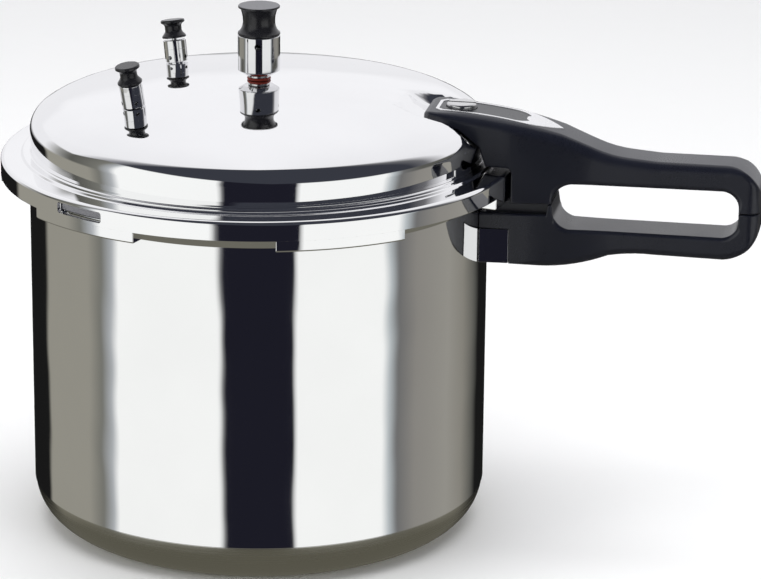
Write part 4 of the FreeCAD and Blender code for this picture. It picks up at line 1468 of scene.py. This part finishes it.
@dataclass
class PotHandle(HandleHalf):
    """The lower handle half and the metal sleeve between it and the pot."""

    root_half: float = 16.0
    edge: float = 2.6
    waist: Point = (22.0, 68.0)
    web_half: float = 11.0
    guard_half: float = 16.5
    guard_length: float = 14.4
    guard_wall: float = 1.0
    guard_taper: float = 1.3
    gap: float = 0.3
    wall_top: float = 180.0
    split: float = 33.2
    bolt_seat: float = 5.3

    def side(self) -> list[Corner]:
        """Side view, from the ledge at the pot round the underside to the eye.

        Returns:
            The closed outline.
        """
        pot, top, end = self.at.pot_radius, self.at.flange_top, self.at.handle_end
        lip = top - 16.7
        ledge = top - 22.2
        low = top - 29.6
        guard_end = pot + self.guard_length + self.gap
        eye_start, eye_end = pot + self.eye_start, end - self.eye_wall
        return [
            Corner(pot - 3, self.at.guard_high + self.gap),
            Corner(guard_end, self.at.guard_high + self.gap),
            Corner(guard_end, self.at.guard_low),
            Corner(pot + 30.4, self.at.guard_low - 1, bend=90),
            Corner(pot + 65.6, top - 42.9, bend=-90),
            Corner(pot + 89, top - 41.2),
            Corner(end - 18, top - 41.6, bend=20),
            Corner(end, top - 24),
            Corner(end, lip),
            Corner(eye_end, lip),
            Corner(eye_end, low + 8.7, bend=-9),
            Corner(eye_end - 8.7, low),
            Corner(eye_start + 9, low, bend=-10),
            Corner(eye_start + 1, low + 8),
            Corner(eye_start + 0.2, lip),
            Corner(eye_start - 1.4, lip),
            Corner(eye_start - 2.4, ledge),
            Corner(pot - 3, ledge),
        ]

    def edge_at(self, place: Point) -> float:
        """Rounding of the moulding's edge at a place: generous below, tight at joint, lip and sleeve.

        Args:
            place: a point of the side view.

        Returns:
            The radius in millimetres.
        """
        x, z = place
        pot, top = self.at.pot_radius, self.at.flange_top
        if x < pot + self.guard_length + 1:
            return 2.0 if z > top - 24 else 0.6
        if z > top - 24:
            return 0.7 if x > pot + self.split else 2.0
        if x < pot + self.split:
            return self.edge + 1.4 * settle(pot + 15, pot + 24, x)
        below = settle(top - 36, top - 40, z)
        return self.edge * (0.9 + 0.65 * below)

    def wall_shape(self) -> Piece:
        """The pot's outside, to shape what stands against it.

        Returns:
            The solid.
        """
        reach = self.at.pot_radius + self.gap
        top = self.wall_top
        return lathe("wall_shape", [Corner(0, 0), Corner(reach, 0), Corner(reach, top), Corner(0, top)],
                     360, closed=False)

    def sleeve(self, name: str, inset: float, rounding: float, over: float) -> Piece:
        """A block that tapers away from the pot, its long edges rounded.

        Args:
            name: the new piece's name.
            inset: how far inside the sleeve's outside it lies.
            rounding: radius of its long edges.
            over: how much longer it is than the sleeve, at both ends.

        Returns:
            The closed block.
        """
        start, end = self.at.pot_radius - 4 - over, self.at.pot_radius + self.guard_length + over
        wide = self.guard_half - inset
        slim = wide - self.guard_taper
        outline = [Corner(start, -wide), Corner(end, -slim), Corner(end, slim), Corner(start, wide)]
        piece = slab(name, outline, (self.at.guard_low + inset, self.at.guard_high - inset), plan=True)
        edit(piece)
        mesh = bmesh.from_edit_mesh(piece.data)
        for edge in mesh.edges:
            along = edge.verts[0].co - edge.verts[1].co
            edge.select_set(abs(along.x) > 5 * MM)
        bmesh.update_edit_mesh(piece.data)
        bpy.ops.mesh.bevel(offset=rounding * MM, segments=6, affect="EDGES")
        put_down()
        return piece

    def build_grip(self) -> Piece:
        """The lower moulding, shaped to the pot's wall.

        Returns:
            The finished lower handle half.
        """
        pot, top = self.at.pot_radius, self.at.flange_top
        near = [*spread(pot - 3, pot + 20, 6), *spread(pot + 20, pot + 70, 3.5)]
        piece = self.mould("pot_handle_moulding", near, pot + 70)
        combine(piece, block("web", Vector((pot + 2, -self.web_half, top - 24.2)),
                             Vector((pot + 35, self.web_half, top - 16.7))), Join.ADD)
        combine(piece, self.wall_shape())
        combine(piece, rod("bolt_seat", self.bolt_seat, 6, Vector((pot + 22, 0, self.at.guard_low))))
        show(piece, BLACK_HANDLE, "pot", "pot_handle")
        return piece

    def build_guard(self) -> Piece:
        """The bent metal sleeve.

        Returns:
            The finished sleeve.
        """
        piece = self.sleeve("sleeve", 0.0, 3.0, 0.0)
        combine(piece, self.sleeve("sleeve_inside", self.guard_wall, 2.0, 2.0))
        combine(piece, self.wall_shape())
        soften(piece, 0.25, 2, angle=50)
        show(piece, CHROME, "pot", "flame_guard")
        return piece


# ---------------------------------------------------------------- regulator and valves


@dataclass
class Regulator:
    """Vent pipe, seal ring, regulator weight and its knob."""

    at: Places
    radius: float = 11.0
    rise: float = 3.1
    height: float = 20.7
    hole: float = 1.6
    hole_drop: float = 4.4
    hole_turn: float = 8.0
    bore: float = 1.6
    pipe_foot: float = 10.5
    seat: float = 1.45
    knob_height: float = 15.5
    waist: float = 8.65
    pipe: float = 4.8
    ring: float = 6.2
    stem: float = 3.1

    def build_pipe(self) -> None:
        """Vent pipe with its collar, and the red ring at its foot."""
        crown = self.at.crown_top
        top, ring_top, foot = crown + 14.0, crown + self.seat, crown - self.pipe_foot
        shoulder = crown + self.rise - 0.3
        collar = self.pipe + 0.9
        pipe = lathe("vent_pipe_turned", [
            Corner(self.bore, foot), Corner(self.pipe, foot, fillet=0.5),
            Corner(self.pipe, ring_top), Corner(collar, ring_top, fillet=0.2),
            Corner(collar, shoulder, fillet=0.3), Corner(self.pipe, shoulder),
            Corner(self.pipe, top, fillet=1.0), Corner(self.bore, top, fillet=0.3),
        ])
        show(pipe, TURNED_STEEL, "lid", "vent_pipe")
        inner, outer, low, high = self.pipe + 0.1, self.ring, crown + 0.1, ring_top - 0.05
        ring = lathe("seal_ring", [
            Corner(inner, low, fillet=0.2), Corner(outer, low, fillet=0.55),
            Corner(outer, high, fillet=0.55), Corner(inner, high, fillet=0.2),
        ])
        show(ring, RED_SILICONE, "lid", "vent_seal_ring")

    def build_weight(self) -> None:
        """The chrome weight with its four steam outlets."""
        low = self.at.crown_top + self.rise
        high = low + self.height
        bore = self.pipe + 0.8
        chamber = high - 2.6
        piece = lathe("weight", [
            Corner(bore, low), Corner(self.radius - 3, low, fillet=0.4),
            Corner(self.radius, low + 2, fillet=0.8), Corner(self.radius, high, fillet=0.5),
            Corner(3, high), Corner(3, high + 8), Corner(0, high + 8), Corner(0, chamber),
            Corner(bore, chamber),
        ], 128)
        cross_drill(piece, self.hole, 40, high - self.hole_drop, self.hole_turn)
        soften(piece, 0.25, 2, angle=40)
        show(piece, CHROME, "regulator", "regulator_weight")

    def build_knob(self) -> None:
        """The black knob on the weight."""
        base = self.at.crown_top + self.rise + self.height + 0.1
        top = base + self.knob_height - 0.1
        socket = base + 8.1
        wide, waist, disc = self.radius, self.waist, self.radius - 0.2
        piece = lathe("weight_knob", [
            Corner(self.stem, base), Corner(wide, base, fillet=0.4), Corner(wide, base + 1.2, fillet=0.5),
            Corner(wide - 0.9, base + 1.9, bend=-8.6), Corner(waist - 0.3, base + 7.1, bend=-18),
            Corner(wide - 1.3, top - 1.5, fillet=0.2), Corner(disc, top - 1.1, fillet=0.3),
            Corner(disc, top, fillet=0.45), Corner(0, top), Corner(0, socket), Corner(self.stem, socket),
        ], 128)
        show(piece, BLACK_KNOB, "regulator", "regulator_knob")
        piece.data.materials.append(KNOB_FACE.material())
        for face in piece.data.polygons:
            if face.normal.z > 0.9 and face.center.z > (top - 0.45) * MM:
                face.material_index = 1


@dataclass(frozen=True)
class ValvePlace:
    """Where one safety valve stands and how it differs."""

    name: str
    azimuth: float
    outlet_turn: float
    knob_gap: float


class ValveSite(Enum):
    """The two safety valves."""

    A = ValvePlace("a", 221.0, 30.0, 0.3)
    B = ValvePlace("b", 139.0, 70.0, 1.0)


@dataclass
class SafetyValve:
    """One spring safety valve: body, bonnet and knob, leaning out on the crown."""

    at: Places
    site: ValvePlace
    ring: float = 73.0
    lean: float = 10.0
    radius: float = 6.0
    height: float = 12.3
    seam: float = 7.4
    outlet: float = 1.05
    outlet_height: float = 3.0
    stem: float = 1.3
    thread: float = 4.0
    foot: float = -10.5
    seat: float = 0.35
    wall: float = 1.7
    roof: float = 1.6
    knob_height: float = 9.7

    def stand(self, piece: Piece) -> None:
        """Lean an upright piece and set it on the crown.

        Args:
            piece: drawn upright with its foot at the origin.
        """
        turn = math.radians(self.site.azimuth)
        foot = self.at.crown_at(self.ring)
        take(piece)
        piece.rotation_mode = "AXIS_ANGLE"
        piece.rotation_axis_angle = (math.radians(self.lean), -math.sin(turn), math.cos(turn), 0)
        piece.location = Vector((self.ring * math.cos(turn), self.ring * math.sin(turn), foot)) * MM
        bpy.ops.object.transform_apply(location=True, rotation=True, scale=True)

    def build(self) -> None:
        """Turn body and bonnet, then the knob."""
        name, wide, seam, top = self.site.name, self.radius, self.seam, self.height
        chamber, roof, guide = wide - self.wall, top - self.roof, self.stem + 0.3
        body = lathe(f"valve_body_{name}", [
            Corner(self.stem, self.foot), Corner(self.thread, self.foot, fillet=0.4),
            Corner(self.thread, self.seat), Corner(wide - 0.3, self.seat), Corner(wide, self.seat * 2),
            Corner(wide, seam, fillet=0.05), Corner(chamber, seam), Corner(chamber, 2.0),
            Corner(self.stem, 1.2),
        ])
        cross_drill(body, self.outlet, 30, self.outlet_height, self.site.outlet_turn)
        self.stand(body)
        show(body, CHROME, "lid", f"safety_valve_body_{name}")
        bonnet = lathe(f"valve_bonnet_{name}", [
            Corner(chamber, seam), Corner(wide - 0.05, seam), Corner(wide, seam + 0.05),
            Corner(wide, top, fillet=0.6), Corner(guide, top), Corner(guide, roof), Corner(chamber, roof),
        ])
        self.stand(bonnet)
        show(bonnet, CHROME, "lid", f"safety_valve_bonnet_{name}")
        self.build_knob()

    def build_knob(self) -> None:
        """The waisted knob on the valve's stem."""
        name, base, socket = self.site.name, self.height + self.site.knob_gap, self.height + 7.1
        crest, bore = base + self.knob_height, self.stem + 0.05
        wide = self.radius + 0.35
        waist = wide * 0.7
        knob = lathe(f"valve_knob_{name}", [
            Corner(bore, base), Corner(wide, base, fillet=0.3), Corner(wide, base + 1, fillet=0.4),
            Corner(waist + 0.6, base + 2.6, bend=-3), Corner(waist, base + 4),
            Corner(waist, crest - 3.6, bend=-3), Corner(waist + 0.8, crest - 2.2),
            Corner(wide, crest - 1.6, fillet=0.3), Corner(wide, crest, fillet=0.8), Corner(0, crest),
            Corner(0, socket), Corner(bore, socket),
        ])
        self.stand(knob)
        show(knob, BLACK_KNOB, f"safety_valve_{name}", f"safety_valve_knob_{name}")


# ---------------------------------------------------------------- carried-over nodes


KEPT_FINISHES: dict[str, Finish] = {
    "pot_handle_bracket": STEEL, "bracket_rivets": STEEL, "pot_handle_bolt": STEEL, "handle_stud": STEEL,
    "vent_pipe_nut": STEEL, "gasket": GREY_SILICONE, "regulator_needle": TURNED_STEEL,
    "canning_rack": RACK_METAL,
}
KEPT_VALVE_FINISHES: dict[str, Finish] = {
    "nut": STEEL, "seal": RUBBER, "spring": STEEL, "plunger": TURNED_STEEL,
}


def dress_kept_nodes() -> None:
    """Give the nodes that keep their CAD shape a real finish."""
    valves = {f"safety_valve_{part}_{site.value.name}": finish
              for part, finish in KEPT_VALVE_FINISHES.items() for site in ValveSite}
    for name, finish in {**KEPT_FINISHES, **valves}.items():
        coat(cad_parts[name], finish)
        LOG.info("%s keeps its shape, finish %s", name, finish.name)


# ---------------------------------------------------------------- studio


@dataclass(frozen=True)
class Stop:
    """One colour of the studio at a bearing, in degrees; bearing 0 is the camera's side."""

    bearing: float
    colour: Colour


SOFT_BOX: Colour = (0.97, 0.98, 0.97)
BLACK_CARD: Colour = (0.012, 0.012, 0.02)
TAUPE: Colour = (0.30, 0.29, 0.25)
DARK_TAUPE: Colour = (0.10, 0.10, 0.09)
HAZE: Colour = (0.34, 0.34, 0.33)
NIGHT: Colour = (0.01, 0.01, 0.01)
BACKDROP: Colour = (0.86, 0.86, 0.885)
OVERHEAD: Colour = (0.95, 0.95, 0.975)
CEILING: Colour = (0.040, 0.043, 0.056)
BELOW: Colour = (0.15, 0.145, 0.12)
WHITE: Colour = (1, 1, 1)
BESIDE = (
    Stop(-86, (0.18, 0.18, 0.16)), Stop(-79, (0.42, 0.44, 0.46)), Stop(-74.5, SOFT_BOX),
    Stop(-20.5, SOFT_BOX), Stop(-17.8, BLACK_CARD), Stop(17, BLACK_CARD), Stop(19, SOFT_BOX),
    Stop(64.5, SOFT_BOX), Stop(69, (0.48, 0.52, 0.54)), Stop(74, (0.16, 0.16, 0.16)),
)
LOW_LAYER = (
    Stop(-180, NIGHT), Stop(-136, NIGHT), Stop(-132, TAUPE), Stop(-95, TAUPE), *BESIDE,
    Stop(86, (0.26, 0.25, 0.23)), Stop(110, (0.31, 0.30, 0.27)), Stop(125, (0.25, 0.24, 0.21)),
    Stop(139, DARK_TAUPE), Stop(146, NIGHT), Stop(180, NIGHT),
)
MIDDLE_LAYER = (
    Stop(-180, BACKDROP), Stop(-132, BACKDROP), Stop(-118, HAZE), Stop(-106, DARK_TAUPE), *BESIDE,
    Stop(86, DARK_TAUPE), Stop(108, DARK_TAUPE), Stop(120, HAZE), Stop(134, BACKDROP),
    Stop(180, BACKDROP),
)
UPPER_LAYER = (
    Stop(-180, OVERHEAD), Stop(-108, BACKDROP), Stop(-92, (0.30, 0.30, 0.32)), Stop(-78, CEILING),
    Stop(80, CEILING), Stop(92, (0.16, 0.16, 0.17)), Stop(106, BACKDROP), Stop(180, OVERHEAD),
)


@dataclass
class Studio:
    """Pale floor, soft boxes either side of the camera, a light backdrop and a dark ceiling."""

    camera_place: Triple = (0.38814, -1.82607, 0.70740)
    camera_tilt: float = 71.994
    camera_turn: float = 12.0
    lens: float = 174.78
    shift: Point = (0.15966, 0.05144)
    floor_size: float = 14.0

    def build_floor(self) -> None:
        """A plain pale floor that mirrors don't see."""
        put_down()
        bpy.ops.mesh.primitive_plane_add(size=self.floor_size, location=(0, 0, 0))
        floor = bpy.context.object
        floor.name = "floor"
        floor.data.materials.append(FLOOR_PAINT.material())
        floor.visible_glossy = False

    def build_camera(self) -> None:
        """The camera, level and a little above the lid."""
        put_down()
        bpy.ops.object.camera_add(location=self.camera_place)
        camera = bpy.context.object
        camera.rotation_euler = (math.radians(self.camera_tilt), 0, math.radians(self.camera_turn))
        camera.data.lens = self.lens
        camera.data.shift_x, camera.data.shift_y = self.shift
        camera.data.clip_end = 50
        bpy.context.scene.camera = camera

    def build_lights(self) -> None:
        """Soft area lights that brighten the floor and the plastics."""
        lamps = (("top", (0.2, -0.4, 2.4), (0, 0, 0), 2.2, 46.0),
                 ("left", (-2.0, -1.6, 1.5), (60, 0, -52), 1.6, 16.0),
                 ("right", (2.2, -1.5, 1.4), (62, 0, 56), 1.4, 14.0))
        for name, place, turn, width, power in lamps:
            put_down()
            bpy.ops.object.light_add(type="AREA", location=place,
                                     rotation=[math.radians(angle) for angle in turn])
            lamp = bpy.context.object
            lamp.name = f"{name}_light"
            lamp.data.size = width
            lamp.data.energy = power
            lamp.visible_glossy = False

    def layer(self, wiring: Wiring, bearing: Socket, stops: Sequence[Stop]) -> Socket:
        """Colours round the studio.

        Args:
            wiring: the world's nodes.
            bearing: 0 to 1 all round, a half being the camera's side.
            stops: colours by bearing, from -180 to 180 degrees.

        Returns:
            The colour socket.
        """
        node = wiring.add("ValToRGB", in_0=bearing)
        elements = node.color_ramp.elements
        while len(elements) > 1:
            elements.remove(elements[0])
        for index, stop in enumerate(stops):
            position = (stop.bearing + 180) / 360
            element = elements[0] if index == 0 else elements.new(position)
            element.position = position
            element.color = (*stop.colour, 1)
        return node.outputs["Color"]

    def build_world(self) -> None:
        """The surroundings that the polished metal mirrors."""
        world = bpy.data.worlds.new("studio")
        bpy.context.scene.world = world
        world.use_nodes = True
        wiring = Wiring(world.node_tree)
        way = wiring.add("TexCoord").outputs["Generated"]
        turn = math.radians(self.camera_turn)
        right = (math.cos(turn), math.sin(turn), 0)
        towards = (math.sin(turn), -math.cos(turn), 0)
        across, ahead = (
            wiring.add("VectorMath", operation="DOT_PRODUCT", in_0=way, in_1=axis).outputs["Value"]
            for axis in (right, towards))
        angle = wiring.math("ARCTAN2", across, ahead)
        bearing = wiring.between(angle, 0.0, 1.0, -math.pi, math.pi)
        rise = wiring.add("SeparateXYZ", in_Vector=way).outputs[2]
        low, middle, upper = (self.layer(wiring, bearing, stops)
                              for stops in (LOW_LAYER, MIDDLE_LAYER, UPPER_LAYER))
        deep = wiring.blend(wiring.between(rise, 0.0, 1.0, -0.42, -0.56), low, BELOW)
        body = wiring.blend(wiring.between(rise, 0.0, 1.0, -0.19, -0.10), deep, middle)
        box_top = wiring.between(across, 0.56, 0.10, -0.80, 0.12)
        far_top = wiring.between(ahead, 0.28, 0.60, -0.30, 0.0)
        over = wiring.math("SUBTRACT", rise, wiring.math("MINIMUM", box_top, far_top))
        dome = wiring.blend(wiring.between(over, 0.0, 1.0, -0.03, 0.03), body, upper)
        seen = wiring.add("Background", in_Color=WHITE, in_Strength=1.0)
        lit = wiring.add("Background", in_Color=dome, in_Strength=1.0)
        path = wiring.add("LightPath").outputs["Is Camera Ray"]
        both = wiring.add("MixShader", in_0=path, in_1=lit.outputs[0], in_2=seen.outputs[0])
        wiring.add("OutputWorld", in_Surface=both.outputs[0])

    def build(self) -> None:
        """Set the whole studio up."""
        self.build_camera()
        self.build_floor()
        self.build_lights()
        self.build_world()
        bpy.context.scene.view_settings.view_transform = "Standard"


def main() -> None:
    """Build the studio, then every piece in turn."""
    logging.basicConfig(level=logging.INFO, format="%(name)s: %(message)s")
    at = Places.read()
    LOG.info("pot radius %.2f, flange top %.2f", at.pot_radius, at.flange_top)
    Studio().build()
    Pot(at).build()
    Lid(at).build()
    upper = LidHandle(at)
    upper.build_grip()
    upper.build_badge()
    upper.build_nut()
    lower = PotHandle(at)
    lower.build_grip()
    lower.build_guard()
    regulator = Regulator(at)
    regulator.build_pipe()
    regulator.build_weight()
    regulator.build_knob()
    for site in ValveSite:
        SafetyValve(at, site.value).build()
    dress_kept_nodes()
    put_down()


if __name__ == "__main__":
    main()
